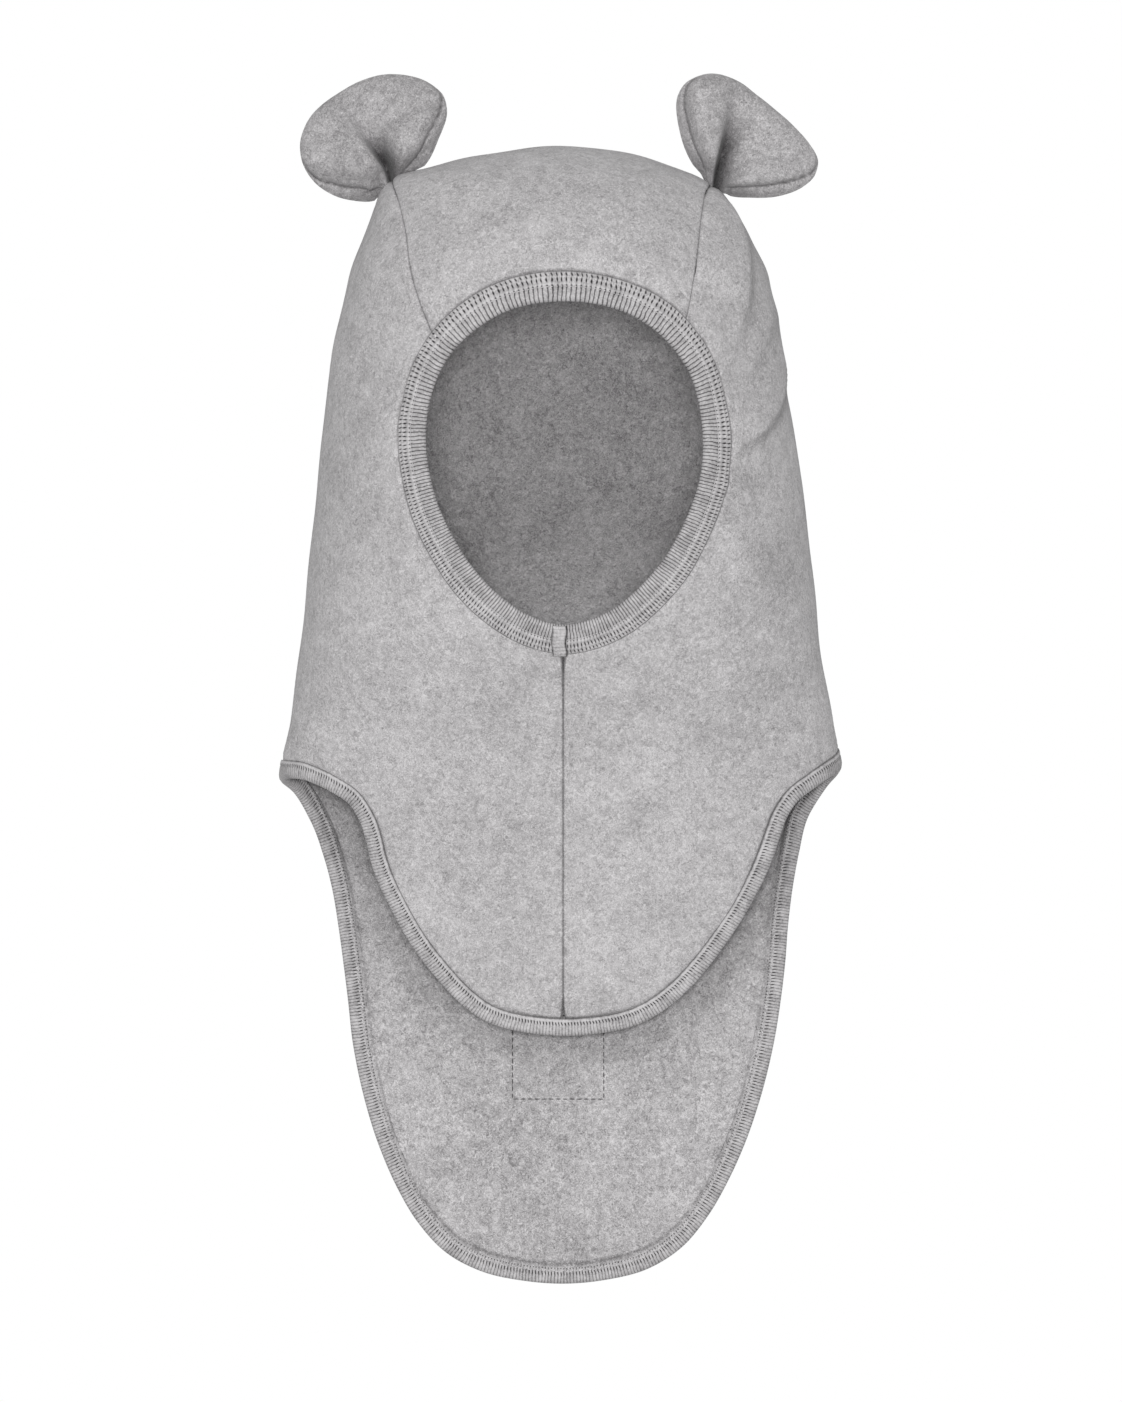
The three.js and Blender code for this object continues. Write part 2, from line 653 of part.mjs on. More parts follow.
// A crown seam: from the face binding to the ear, and from the ear to the corner of the hem.
function crownSeam(side, foot, corner) {
  const sign = signOf(side);
  const crest = crownChart.from(new THREE.Vector2(sign * EAR_AT[side], (Math.PI / 2) * LAP));
  const front = FRONT_SEAM.map((row) => clothAt(sign * row[side], row.z, "front"));
  const back = BACK_SEAM.map((row) => crownChart.from(new THREE.Vector2(sign * row[side], row.along)));
  const toEar = evenly(curveThrough([foot, ...front, crest]), DIVISIONS.frontSeam);
  const toCorner = evenly(curveThrough([crest, ...back, corner]), DIVISIONS.backSeam);
  const onCloth = (points) => points.map((p, k) => (k === 0 || k === points.length - 1 ? p : settle(p)));
  return { crest, front: onCloth(toEar), back: onCloth(toCorner) };
}
const seams = {
  left: crownSeam("left", crownRim[0], leftFrontHem[0]),
  right: crownSeam("right", crownRim[DIVISIONS.across], rightFrontHem[0]),
};

// ---------------------------------------------------------------- fleece panels

const joined = (...lists) => lists.flatMap((list, k) => (k ? list.slice(1) : list));

function crownBackPanel() {
  const left = joined(seams.left.front, seams.left.back, leftBibSide);
  const right = joined(seams.right.front, seams.right.back, rightBibSide);
  return panelGeometry(filled(crownChart, crownRim, bibBottom, left, right, RELAX_PASSES.crown));
}

// A side panel. Its grid starts at the crown seam on either side of the ear and ends along the lowest
// part of the front hem. One of its sides follows the back seam, the corner and the rest of the hem, and
// the other follows the face opening and the seam down the front bib.
function sidePanel(side) {
  const { across, earToFace } = DIVISIONS;
  const rim = side === "left" ? leftRim : rightRim;
  const hem = side === "left" ? leftFrontHem : rightFrontHem;
  const { back } = seams[side];
  const front = [...seams[side].front].reverse();
  const earToBack = across - earToFace;
  const hemAside = hem.length - 1 - across;
  const rows = back.length - 1 - earToBack + hemAside;
  const fallPieces = rows - (front.length - 1 - earToFace) - (rim.length - 1);
  const chin = rim[rim.length - 1];
  const low = hem[hem.length - 1];
  const bibSeam = Array.from({ length: fallPieces + 1 }, (_, k) => {
    if (k === 0) return chin;
    if (k === fallPieces) return low;
    return clothAt(0, THREE.MathUtils.lerp(chin.z, low.z, k / fallPieces), "front");
  });
  const top = joined(back.slice(0, earToBack + 1).reverse(), front.slice(0, earToFace + 1));
  const outer = joined(back.slice(earToBack), hem.slice(0, hemAside + 1));
  const inner = joined(front.slice(earToFace), rim, bibSeam);
  const chart = sideChart(signOf(side));
  return panelGeometry(filled(chart, top, hem.slice(hemAside), outer, inner, RELAX_PASSES.side));
}

// ---------------------------------------------------------------- rib bindings

// The outline of a binding: across is 0 at the edge of the fleece and 1 at the fold of the rib, and out
// is the distance from the middle of the fleece, as a share of half the binding's thickness.
const BINDING_OUTLINE = [
  { across: 0, out: -1 },
  { across: 0.55, out: -1 },
  { across: 0.86, out: -0.9 },
  { across: 1, out: -0.35 },
  { across: 1, out: 0.35 },
  { across: 0.86, out: 0.9 },
  { across: 0.55, out: 1 },
  { across: 0, out: 1 },
];
const BINDING_HALF = FLEECE / 2 + RIB;

function bindingGeometry(fold, rim, width) {
  const start = SEAM_GAP / width;
  const rings = fold.map((edge, k) =>
    BINDING_OUTLINE.map(({ across, out }) => {
      const p = settle(rim[k].clone().lerp(edge, THREE.MathUtils.lerp(start, 1, across)));
      return raised(p, out * BINDING_HALF - FLEECE / 2);
    }),
  );
  return bandGeometry(rings);
}

// The short seam that joins the ends of the face binding, a flat strip over it below the chin.
const JOIN = { width: 5, length: 9.6, thick: 0.7, x: -1.2 };
function bindingJoinGeometry() {
  const low = OPENING.z - OPENING.bottom.height;
  const across = [-0.5, 0, 0.5];
  const down = [0.04, 0.35, 0.65, 1];
  const grid = down.map((share) =>
    across.map((place) => clothAt(JOIN.x + place * JOIN.width, low - share * JOIN.length, "front")),
  );
  const layer = (distance) =>
    grid.map((row) => row.map((p) => raised(p, RIB + SEAM_GAP + distance)));
  return wallGeometry(layer(JOIN.thick), layer(0));
}

// ---------------------------------------------------------------- ears

// The outside of the hood, a little proud, as one closed solid that the ears are trimmed to. levels are
// the heights of its rings.
const ENVELOPE = { proud: 0.6, around: 48, levels: [-1, -4, -8, -13, -20, -30, -45, -65, -90] };
function hoodEnvelope() {
  const { proud, around, levels } = ENVELOPE;
  const ring = (z) =>
    Array.from({ length: around }, (_, k) => {
      const turn = (2 * Math.PI * k) / around;
      const direction = new THREE.Vector3(Math.cos(turn), Math.sin(turn), 0);
      return raised(shoot(new THREE.Vector3(0, 0, z), direction), proud);
    });
  const rings = levels.map(ring);
  const top = rings.length * around;
  const bottom = top + 1;
  const points = [
    ...rings.flat(),
    new THREE.Vector3(0, 0, CROWN_TOP + proud),
    new THREE.Vector3(0, 0, levels[levels.length - 1]),
  ];
  const lowest = top - around;
  const triangles = [];
  for (let k = 0; k < around; k += 1) {
    const next = (k + 1) % around;
    triangles.push([top, k, next]);
    for (let j = 0; j < lowest; j += around)
      triangles.push(...quad(j + k, j + around + k, j + around + next, j + next));
    triangles.push([bottom, lowest + next, lowest + k]);
  }
  return closedGeometry(points, triangles);
}

function toManifold(geometry) {
  const bare = geometry.clone();
  bare.deleteAttribute("normal");
  bare.deleteAttribute("uv");
  const merged = mergeVertices(bare, MERGE_DISTANCE);
  return new wasm.Manifold(
    new wasm.Mesh({
      numProp: 3,
      vertProperties: new Float32Array(merged.attributes.position.array),
      triVerts: new Uint32Array(merged.index.array),
    }),
  );
}

function toGeometry(solid) {
  const mesh = solid.getMesh();
  const geometry = new THREE.BufferGeometry();
  geometry.setAttribute("position", new THREE.BufferAttribute(mesh.vertProperties.slice(), 3));
  geometry.setIndex(new THREE.BufferAttribute(mesh.triVerts.slice(), 1));
  geometry.computeVertexNormals();
  return geometry;
}

// The middle of an ear, between its two layers, as a function of a ray's angle and the distance along it.
function earMiddle(side) {
  const rows = EARS[side];
  const [reach, near, far] = ["reach", "near", "far"].map((column) =>
    smoothColumn(rows, (row) => row.angle, column),
  );
  const sign = signOf(side);
  const point = (angle, distance) => {
    const turn = THREE.MathUtils.degToRad(angle);
    const rise = Math.min(distance / EAR.near, 1);
    const out = Math.max(distance - EAR.near, 0) / Math.max(reach(angle) - EAR.near, 1);
    const forward = near(angle) * rise + (far(angle) - near(angle)) * Math.min(out, 1);
    const stem = EAR_STEM.drop * Math.max(1 - distance / EAR_STEM.from, 0) ** 2;
    return new THREE.Vector3(sign * distance * Math.sin(turn), -forward, distance * Math.cos(turn) - stem);
  };
  return { reach, point, first: rows[0].angle, last: rows[rows.length - 1].angle };
}

// One layer of an ear. facing is -1 for the front layer and 1 for the back one. The layers part forwards
// and backwards only, so they never cross, however steep the sides of the valley are.
function earLayer(side, facing) {
  const middle = earMiddle(side);
  const { rays, steps } = EAR_DIVISIONS;
  const stations = facing < 0 ? steps : steps + 1;
  const pointAt = (j, i, share) => {
    const across = i / rays;
    const along = Math.min(j / steps, 1);
    const angle = THREE.MathUtils.lerp(middle.first, middle.last, across);
    const seam = middle.reach(angle) - EAR.rim;
    const distance = j > steps ? seam + EAR.rim : THREE.MathUtils.lerp(EAR.root, seam, along);
    const swell = Math.sin(Math.PI * across) * Math.sin(Math.PI * along);
    const thick = (EAR.thin + EAR.puff * swell) * Math.min(1, EAR.gather * distance);
    const p = middle.point(angle, distance);
    p.y += facing * (EAR.part + thick * share);
    return p;
  };
  const grid = (share) =>
    Array.from({ length: stations + 1 }, (_, j) =>
      Array.from({ length: rays + 1 }, (__, i) => pointAt(j, i, share)),
    );
  return wallGeometry(grid(1), grid(0));
}

// Places an ear in its crown seam and trims it to the hood.
function earGeometry(side, facing, envelope) {
  const { crest } = seams[side];
  const layer = earLayer(side, facing).translate(crest.x, crest.y, crest.z - EAR_STEM.sink);
  return toGeometry(toManifold(layer).subtract(envelope));
}

// ---------------------------------------------------------------- the hat

const cloth = (color, roughness) =>
  new THREE.MeshStandardMaterial({ color, roughness, metalness: 0, side: THREE.FrontSide });
const fleece = cloth("#b8b6b7", 1);
const rib = cloth("#b3b1b2", 0.95);

const hat = new THREE.Group();
function add(name, geometry, material) {
  const mesh = new THREE.Mesh(geometry, material);
  mesh.name = name;
  hat.add(mesh);
}

add("crown_back_panel", crownBackPanel(), fleece);
add("side_panel_left", sidePanel("left"), fleece);
add("side_panel_right", sidePanel("right"), fleece);
add("face_binding", bindingGeometry(openingFold, openingRim, FACE_BINDING), rib);
add("face_binding_join", bindingJoinGeometry(), rib);
add("hem_binding", bindingGeometry(hemFold, hemRim, HEM_BINDING), rib);

const envelope = toManifold(hoodEnvelope());
for (const side of ["left", "right"]) {
  add(`ear_${side}_front`, earGeometry(side, -1, envelope), fleece);
  add(`ear_${side}_back`, earGeometry(side, 1, envelope), fleece);
}

export default hat;
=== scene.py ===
# %% [markdown]
# # A baby balaclava of wool fleece, with two padded ears
#
# The hat is sewn from brushed wool fleece: one piece runs over the crown, down the nape and into the back
# bib, and two side pieces cover the cheeks and meet in a seam down the front bib. Rib knit binds the face
# opening and the hem, and a padded ear stands in each crown seam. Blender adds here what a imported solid
# can't hold: soft folds, seams that draw the cloth in, ribs, stitches, round ears and the fuzz of the wool.

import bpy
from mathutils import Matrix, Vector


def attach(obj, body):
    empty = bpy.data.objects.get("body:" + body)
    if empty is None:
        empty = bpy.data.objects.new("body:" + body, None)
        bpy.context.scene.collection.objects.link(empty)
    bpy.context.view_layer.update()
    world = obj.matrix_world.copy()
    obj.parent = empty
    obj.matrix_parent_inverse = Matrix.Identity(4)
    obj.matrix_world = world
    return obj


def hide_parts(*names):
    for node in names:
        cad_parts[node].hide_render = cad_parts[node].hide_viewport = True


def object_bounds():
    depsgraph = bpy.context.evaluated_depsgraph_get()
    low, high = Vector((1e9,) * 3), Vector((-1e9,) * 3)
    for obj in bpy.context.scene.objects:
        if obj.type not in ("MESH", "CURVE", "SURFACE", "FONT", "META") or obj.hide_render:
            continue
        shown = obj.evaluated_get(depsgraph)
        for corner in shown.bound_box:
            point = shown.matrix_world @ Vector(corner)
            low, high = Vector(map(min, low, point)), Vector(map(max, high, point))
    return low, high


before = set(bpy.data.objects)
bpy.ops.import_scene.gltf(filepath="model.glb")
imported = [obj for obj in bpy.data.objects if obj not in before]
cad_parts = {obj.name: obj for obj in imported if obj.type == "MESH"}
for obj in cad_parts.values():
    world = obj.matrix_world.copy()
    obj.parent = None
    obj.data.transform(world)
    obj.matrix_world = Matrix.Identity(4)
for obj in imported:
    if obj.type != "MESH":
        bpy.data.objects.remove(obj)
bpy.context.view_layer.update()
print("nodes in the frame:", ", ".join(sorted(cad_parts)))

# %% [markdown]
# ## Tools
#
# bmesh makes the meshes and numpy works on all points of a mesh at once. The hat is worked out in
# millimetres, as a pattern cutter would, and is turned to metres only where a mesh is written.

# %% Libraries and units
import math

import bmesh
import bpy
import numpy as np
from mathutils import Vector

MM = 0.001


def unit(v):
    """Vectors of length 1 in the same directions."""
    return v / np.maximum(np.linalg.norm(v, axis=-1, keepdims=True), 1e-12)


def table(columns, *rows):
    """Rows of numbers under named columns."""
    return [dict(zip(columns.split(), row)) for row in rows]


# %% [markdown]
# ## The camera and the light
#
# A flat product view is taken straight from the front with a long lens, which hardly narrows what is
# further away. The hat is lit as in a white studio: a bright surround gives soft light from everywhere, and
# a lamp in front adds the light that reaches through the face opening to the back of the hood. A weaker
# one from the left brings out the folds, and one in front and above casts the shadow of the front bib on
# the back bib. All three are large enough for soft edges.

# %% Camera
VIEW_HEIGHT = 467.3  # what the picture takes in, from top to bottom, where the hat is
VIEW_CENTRE = (-0.7, -182.7)
DISTANCE = 6000.0
camera = bpy.data.objects.new("camera", bpy.data.cameras.new("camera"))
camera.data.lens = camera.data.sensor_width * DISTANCE / VIEW_HEIGHT
camera.data.clip_end = 50
camera.location = Vector((VIEW_CENTRE[0], -DISTANCE, VIEW_CENTRE[1])) * MM
camera.rotation_euler = (math.pi / 2, 0, 0)
bpy.context.collection.objects.link(camera)
bpy.context.scene.camera = camera
print(f"lens {camera.data.lens:.0f} mm at {DISTANCE * MM:.1f} m")

# %% Light
SURROUND = 0.44  # light from all round; the backdrop itself shows as pure white
world = bpy.data.worlds.new("white surround")
world.use_nodes = True
surround = world.node_tree.nodes["Background"]
backdrop = world.node_tree.nodes.new("ShaderNodeBackground")
switch = world.node_tree.nodes.new("ShaderNodeMixShader")
path = world.node_tree.nodes.new("ShaderNodeLightPath")
surround.inputs["Color"].default_value = backdrop.inputs["Color"].default_value = (1, 1, 1, 1)
surround.inputs["Strength"].default_value = SURROUND
world.node_tree.links.new(path.outputs["Is Camera Ray"], switch.inputs["Fac"])
world.node_tree.links.new(surround.outputs[0], switch.inputs[1])
world.node_tree.links.new(backdrop.outputs[0], switch.inputs[2])
world.node_tree.links.new(switch.outputs[0], world.node_tree.nodes["World Output"].inputs["Surface"])
bpy.context.scene.world = world
bpy.context.scene.view_settings.view_transform = "Standard"


def soft_box(name, place, target, size, power):
    """A large square lamp at a place, in metres, turned towards a target."""
    lamp = bpy.data.lights.new(name, "AREA")
    lamp.size = size
    lamp.energy = power
    holder = bpy.data.objects.new(name, lamp)
    holder.location = place
    aim = Vector(target) - Vector(place)
    holder.rotation_euler = aim.to_track_quat("-Z", "Y").to_euler()
    bpy.context.collection.objects.link(holder)
    return holder


# Each lamp: its place and target in metres, its size in metres and its power in watts.
soft_box("front light", (-0.02, -3.0, -0.1), (0, 0, -0.12), 0.4, 44)
soft_box("left light", (-2.6, -1.7, 0.7), (0, 0, -0.15), 1.0, 4)
soft_box("top light", (0, -2.5, 1.6), (0, 0, -0.15), 0.5, 15)

# %% [markdown]
# ## Materials
#
# Each finish is named for what it is. Colours are given as hex values of sRGB, the way a dye card gives
# them, and one function turns them to the linear light that Blender mixes.

# %% Colours and nodes
def colour(text):
    """A hex value of sRGB as linear red, green, blue and alpha."""
    parts = [int(text[k : k + 2], 16) / 255 for k in (1, 3, 5)]
    return (*[c / 12.92 if c <= 0.04045 else ((c + 0.055) / 1.055) ** 2.4 for c in parts], 1.0)


def add(material, kind, links=None, stops=(), **settings):
    """Adds a node. links name its sockets and the value or other socket that feeds each one, settings name
    its sockets or attributes, and stops are the places and colours of a ramp."""
    node = material.node_tree.nodes.new(kind)
    for name, value in settings.items():
        socket = name.replace("_", " ")
        if socket in node.inputs:
            node.inputs[socket].default_value = value
        else:
            setattr(node, name, value)
    for name, source in (links or {}).items():
        if isinstance(source, (int, float)):
            node.inputs[name].default_value = source
        else:
            material.node_tree.links.new(source, node.inputs[name])
    if stops:
        elements = node.color_ramp.elements
        elements[0].position, elements[-1].position = stops[0][0], stops[-1][0]
        for place, _ in stops[1:-1]:
            elements.new(place)
        for element, (_, text) in zip(elements, stops):
            element.color = colour(text)
    return node


def new_material(name):
    """An empty node material and its output node."""
    material = bpy.data.materials.new(name)
    material.use_nodes = True
    material.node_tree.nodes.clear()
    return material, add(material, "ShaderNodeOutputMaterial")


# %% [markdown]
# ### Brushed wool fleece
#
# Melange wool is spun from light and dark fibres before it is knitted, and brushing lifts them into a
# short, felted nap. The eye gets three things: fine curled strokes a millimetre or two long that lie every
# way, faint clouds where more dark or light fibre came together, and a soft edge where the nap catches
# light. Warped noise draws the strokes, wider noises the clouds, and sheen the nap. The face of the cloth
# is brushed open and pale. The wrong side, inside the hat, is the same cloth drawn darker and with a little
# more contrast: painted shade for the hollow of the hood, though it lines every panel.

# %% Fleece
# Widths of the spots of each noise, in millimetres, and their shares in the tone of the cloth.
STROKE, TUFT, CLOUD, DRIFT = 0.5, 1.3, 5.0, 24.0
FLEECE_SHARES = {"stroke": 0.56, "tuft": 0.24, "cloud": 0.13, "drift": 0.07, "shade": -0.45}


def noise(material, place, width, **settings):
    """Noise whose spots are about so many millimetres wide."""
    return add(material, "ShaderNodeTexNoise", place, Scale=1 / (2 * width * MM), **settings).outputs["Fac"]


def calculated(material, operation, *values):
    """What a calculation, such as "COSINE", makes of numbers or sockets."""
    return add(material, "ShaderNodeMath", dict(enumerate(values)), operation=operation).outputs[0]


def weighed(material, shares):
    """The sum of values, each times its share."""
    total = 0.0
    for value, share in shares:
        total = calculated(material, "MULTIPLY_ADD", value, share, total)
    return total


def cloth_shader(material, output, value, stops, height, bump, sheen):
    """A matt cloth: no gloss to speak of, and a nap or fuzz that lightens the edges.

    value picks the tone from the stops. height is its relief, and bump the strength and depth of that.
    """
    base = add(material, "ShaderNodeValToRGB", {"Fac": value}, stops).outputs["Color"]
    relief = add(material, "ShaderNodeBump", {"Height": height}, Strength=bump[0], Distance=bump[1])
    shader = add(
        material,
        "ShaderNodeBsdfPrincipled",
        {"Base Color": base, "Normal": relief.outputs["Normal"]},
        Roughness=0.95,
        IOR=1.5,
        Specular_IOR_Level=0.15,
        Sheen_Weight=sheen,
        Sheen_Roughness=0.5,
    )
    material.node_tree.links.new(shader.outputs["BSDF"], output.inputs["Surface"])


def wool_fleece(name, deep, dark, middle, light):
    """Fleece. The mark "shade" on a mesh says how deep in a seam or pinch, out of the light, a point is."""
    material, output = new_material(name)
    place = {"Vector": add(material, "ShaderNodeTexCoord").outputs["Object"]}
    shade = add(material, "ShaderNodeAttribute", attribute_name="shade").outputs["Fac"]
    stroke = noise(material, place, STROKE, Detail=2, Roughness=0.6, Distortion=2.2)
    tuft = noise(material, place, TUFT, Detail=2, Distortion=1.4)
    cloud = noise(material, place, CLOUD, Detail=3, Distortion=0.6)
    drift = noise(material, place, DRIFT, Detail=2)
    # The mark "shade" darkens the colour: painted shade in seams, pinches and at the feet of folds.
    value = weighed(material, zip((stroke, tuft, cloud, drift, shade), FLEECE_SHARES.values()))
    stops = [(0.05, deep), (0.37, dark), (0.5, middle), (0.63, light)]
    cloth_shader(material, output, value, stops, stroke, (0.5, 0.0003), 0.2)
    return material


fleece = wool_fleece("brushed wool fleece", "#3c3a3b", "#8e8c8d", "#b6b4b5", "#d6d4d5")
# The lining is the same fleece with darker stops: painted shade.
painted_shade_lining = wool_fleece("wool fleece lining with painted shade", "#2c2a2b", "#7c7a7b", "#adabac", "#d4d2d3")
print("fleece:", len(fleece.node_tree.nodes), "nodes")

# %% [markdown]
# ### Rib knit and thread
#
# The bindings are a thin 1x1 rib of the same wool blend, unbrushed. Its ribs are so fine that they are
# drawn by the material, and the wide ones round the face are modelled as well. A map called "knit" on each
# strip gives the distance from its fold, in millimetres and negative on the inside, and counts the ribs
# along it. A cosine of that count makes the grooves. Where a row of stitches crosses them, a bell curve
# round its distance turns each groove into a needle hole. Grooves and holes are sunk by a bump and
# darkened in the colour as painted shade, and painted lines along the strip add shadow at the free edges
# and highlight on the ridges beside the rows. The real ribs are down to 0.7 mm apart, too fine to show
# from where the hat is seen, so they are drawn a little coarser. The thread is spun polyester of the same
# grey.

# %% Rib and thread
# The share "rib" darkens the grooves between the ribs: painted shade.
RIB_SHARES = {"fibre": 0.62, "sway": 0.38, "rib": -0.42, "lift": 0.07}


def grooves(material, count):
    """1 in the middle of the groove between two ribs and 0 on the ribs."""
    wave = calculated(material, "COSINE", calculated(material, "MULTIPLY", count, 2 * math.pi))
    return calculated(material, "POWER", calculated(material, "MAXIMUM", wave, 0.0), 2.0)


def near_line(material, across, at, wide):
    """1 at a distance from the fold, and less on both sides of it."""
    away = weighed(material, [(across, 1 / wide), (1.0, -at / wide)])
    square = calculated(material, "MULTIPLY", away, away)
    return calculated(material, "EXPONENT", calculated(material, "MULTIPLY", square, -1.0))


def rib_knit(name, width, contrast, rows=(), lines=()):
    """Rib knit. contrast gives how clear the ribs are at shares of the width, from the fold outwards.

    rows are rows of needle holes, darkened as painted shade, and lines are painted lines along the strip:
    painted shadow where they are dark, and painted highlight where they are lighter.
    """
    material, output = new_material(name)
    place = {"Vector": add(material, "ShaderNodeTexCoord").outputs["Object"]}
    knit = {"Vector": add(material, "ShaderNodeUVMap", uv_map="knit").outputs["UV"]}
    across, count = add(material, "ShaderNodeSeparateXYZ", knit).outputs[:2]
    fibre = noise(material, place, 0.4, Detail=3, Roughness=0.6, Distortion=1.0)
    sway = noise(material, place, 2.4, Detail=2)
    uneven = weighed(material, [(count, 1.0), (sway, 0.9)])
    share = calculated(material, "DIVIDE", across, width)
    clear = add(material, "ShaderNodeValToRGB", {"Fac": share}, contrast).outputs["Color"]
    rib = calculated(material, "MULTIPLY", grooves(material, uneven), clear)
    marks = []
    for row in rows:
        at, slant = row["at"], row["slant"]
        slanted = weighed(material, [(uneven, 1.0), (across, slant), (1.0, -slant * at)])
        near = near_line(material, across, at, row["wide"])
        marks.append((calculated(material, "MULTIPLY", grooves(material, slanted), near), -row["dark"]))
    for line in lines:
        marks.append((near_line(material, across, line["at"], line["wide"]), -line["dark"]))
    # Grooves, holes and dark lines darken the colour as painted shade; lighter lines are painted highlight.
    tones = list(zip((fibre, sway, rib, 1.0), RIB_SHARES.values()))
    value = weighed(material, tones + marks)
    stops = [(0.02, "#333132"), (0.34, "#807e7f"), (0.5, "#a8a6a7"), (0.68, "#c9c7c8")]
    height = weighed(material, [(fibre, 0.4), (rib, -0.8), *marks])
    cloth_shader(material, output, value, stops, height, (0.6, 0.0003), 0.15)
    return material


def sewing_thread(name, dark, light):
    """Twisted thread: a fine noise stands for the twist."""
    material, output = new_material(name)
    place = {"Vector": add(material, "ShaderNodeTexCoord").outputs["Object"]}
    twist = noise(material, place, 0.3, Detail=2)
    cloth_shader(material, output, twist, [(0.35, dark), (0.65, light)], twist, (0.3, 0.0001), 0.1)
    return material


# Rows of holes and painted lines: their distance from the fold and half width in millimetres, how far the
# holes lean, and how dark they are, as painted shade; a line of negative darkness is a painted highlight.
# The tab's lines are at its two edges, as painted shadow.
FACE_ROWS = table("at wide slant dark", (4.9, 0.45, 0, 0.8), (7.0, 0.55, 0.1, 0.7), (8.9, 0.5, 0.2, 0.65))
HEM_ROWS = table("at wide slant dark", (4.35, 0.5, 0.3, 1.0), (-3.3, 0.6, 0.2, 0.5), (-5.1, 0.3, 0, 0.3))
HEM_LINES = table("at wide dark", (5.1, 0.3, -0.1), (5.95, 0.2, 0.3))
FACE_LINES = table("at wide dark", (5.5, 0.35, -0.08), (8, 0.4, -0.1), (10, 0.25, 0.3))
FACE_CLEAR = [(0.42, "#ffffff"), (0.5, "#8c8c8c"), (0.66, "#8c8c8c"), (0.71, "#e0e0e0"), (0.9, "#808080")]
TAB_CLEAR = [(0, "#8c8c8c"), (1, "#8c8c8c")]
HEM_CLEAR = [(0.1, "#c8c8c8"), (0.7, "#b0b0b0"), (0.8, "#303030")]
face_knit = rib_knit("wool rib knit, wide", 10, FACE_CLEAR, FACE_ROWS, FACE_LINES)
hem_knit = rib_knit("wool rib knit, narrow", 6, HEM_CLEAR, HEM_ROWS, HEM_LINES)
TAB_LINES = table("at wide dark", (2.2, 0.3, 0.5), (-2.3, 0.25, 0.25))
plain_knit = rib_knit("wool rib knit, tab", 5, TAB_CLEAR, lines=TAB_LINES)
thread = sewing_thread("spun polyester thread", "#a3a1a2", "#d6d4d5")
# The same thread drawn dark as painted shade, for stitches sunk in the nap.
painted_shade_thread = sewing_thread("thread darkened as painted shade", "#383637", "#5a5859")
print("rib knit:", len(face_knit.node_tree.nodes), "nodes")

# %% [markdown]
# ## The form of the cloth
#
# The whole hat follows one soft surface: the form that a head and shoulders give it. It is described as a
# dressmaker's dummy is, by horizontal sections, here 20 of them. A point belongs to the surface where a
# superellipse of that height says so, and any point can be brought onto it by stepping down the slope of
# that measure. This gives a surface that is smooth at any number of faces, so panels, bindings, seams and
# stitches all lie exactly on it.

# %% Driving sizes
FLEECE = 2.0  # wall of the fleece
RIB = 0.8  # one layer of the rib that folds over an edge
FACE_BINDING = 10.0
HEM_BINDING = 6.0
TUCK = 1.6  # how far the fleece reaches under a binding
CROWN_TOP = FLEECE
DOME = 75.0
LAP = 80.0
GIRTH = 75.0
ACROSS, FRONT_SEAM_PIECES, BACK_SEAM_PIECES = 12, 6, 26
OPENING_PIECES, FRONT_HEM_PIECES, BIB_SIDE_PIECES, EAR_TO_FACE = 14, 22, 11, 4

SECTIONS = table(
    "z left right front back power",
    (2, 0, 0, 0, 0, 2.1),
    (0, 27, 21, 17, 18, 2.1),
    (-4, 43, 34, 30, 31, 2.1),
    (-9, 57.2, 47.6, 40, 43, 2.15),
    (-13, 61, 53, 45.5, 49.5, 2.18),
    (-17, 62.6, 55.8, 50, 55, 2.2),
    (-29, 67, 63, 60, 68, 2.25),
    (-42, 72.1, 69, 66, 78, 2.3),
    (-57, 75.2, 70.2, 69, 85, 2.3),
    (-76, 78, 73.6, 71, 90, 2.3),
    (-100, 81, 78.4, 71, 90, 2.3),
    (-136, 84, 82.7, 66, 76, 2.25),
    (-162, 87, 85.4, 58, 59, 2.2),
    (-189, 91.3, 89.8, 45, 41, 2.1),
    (-204, 94, 92.6, 38, 34, 2),
    (-230, 95, 94.5, 29, 23, 2),
    (-260, 95, 95, 19, 14, 2),
    (-294, 95, 95, 11, 7, 2),
    (-340, 95, 95, 6, 4, 2),
    (-385, 95, 95, 4, 3, 2),
)


# %% Reading a table smoothly
def column(rows, places, name):
    """A smooth curve through one column of a table, which doesn't overshoot its rows."""
    at = np.array(places, float)
    value = np.array([row[name] for row in rows], float)
    rise = np.diff(value) / np.diff(at)
    before, after = rise[:-1], rise[1:]
    onward = before * after > 0
    slope = np.concatenate([rise[:1], np.zeros(len(at) - 2), rise[-1:]])
    slope[1:-1][onward] = (2 * before * after)[onward] / (before + after)[onward]

    def read(x):
        i = np.clip(np.searchsorted(at, x) - 1, 0, len(at) - 2)
        step = at[i + 1] - at[i]
        t = np.clip((x - at[i]) / step, 0, 1)
        bend = t * t * (3 - 2 * t) * (value[i + 1] - value[i])
        pull = t * (1 - t) * ((1 - t) * slope[i] - t * slope[i + 1]) * step
        return value[i] + bend + pull

    return read


def fall(z):
    """The root of the distance below the crown, by which the sections are read."""
    return np.sqrt(np.maximum(CROWN_TOP - np.asarray(z, float), 0))


size = {
    name: column(SECTIONS, [float(fall(row["z"])) for row in SECTIONS], name)
    for name in ("left", "right", "front", "back", "power")
}


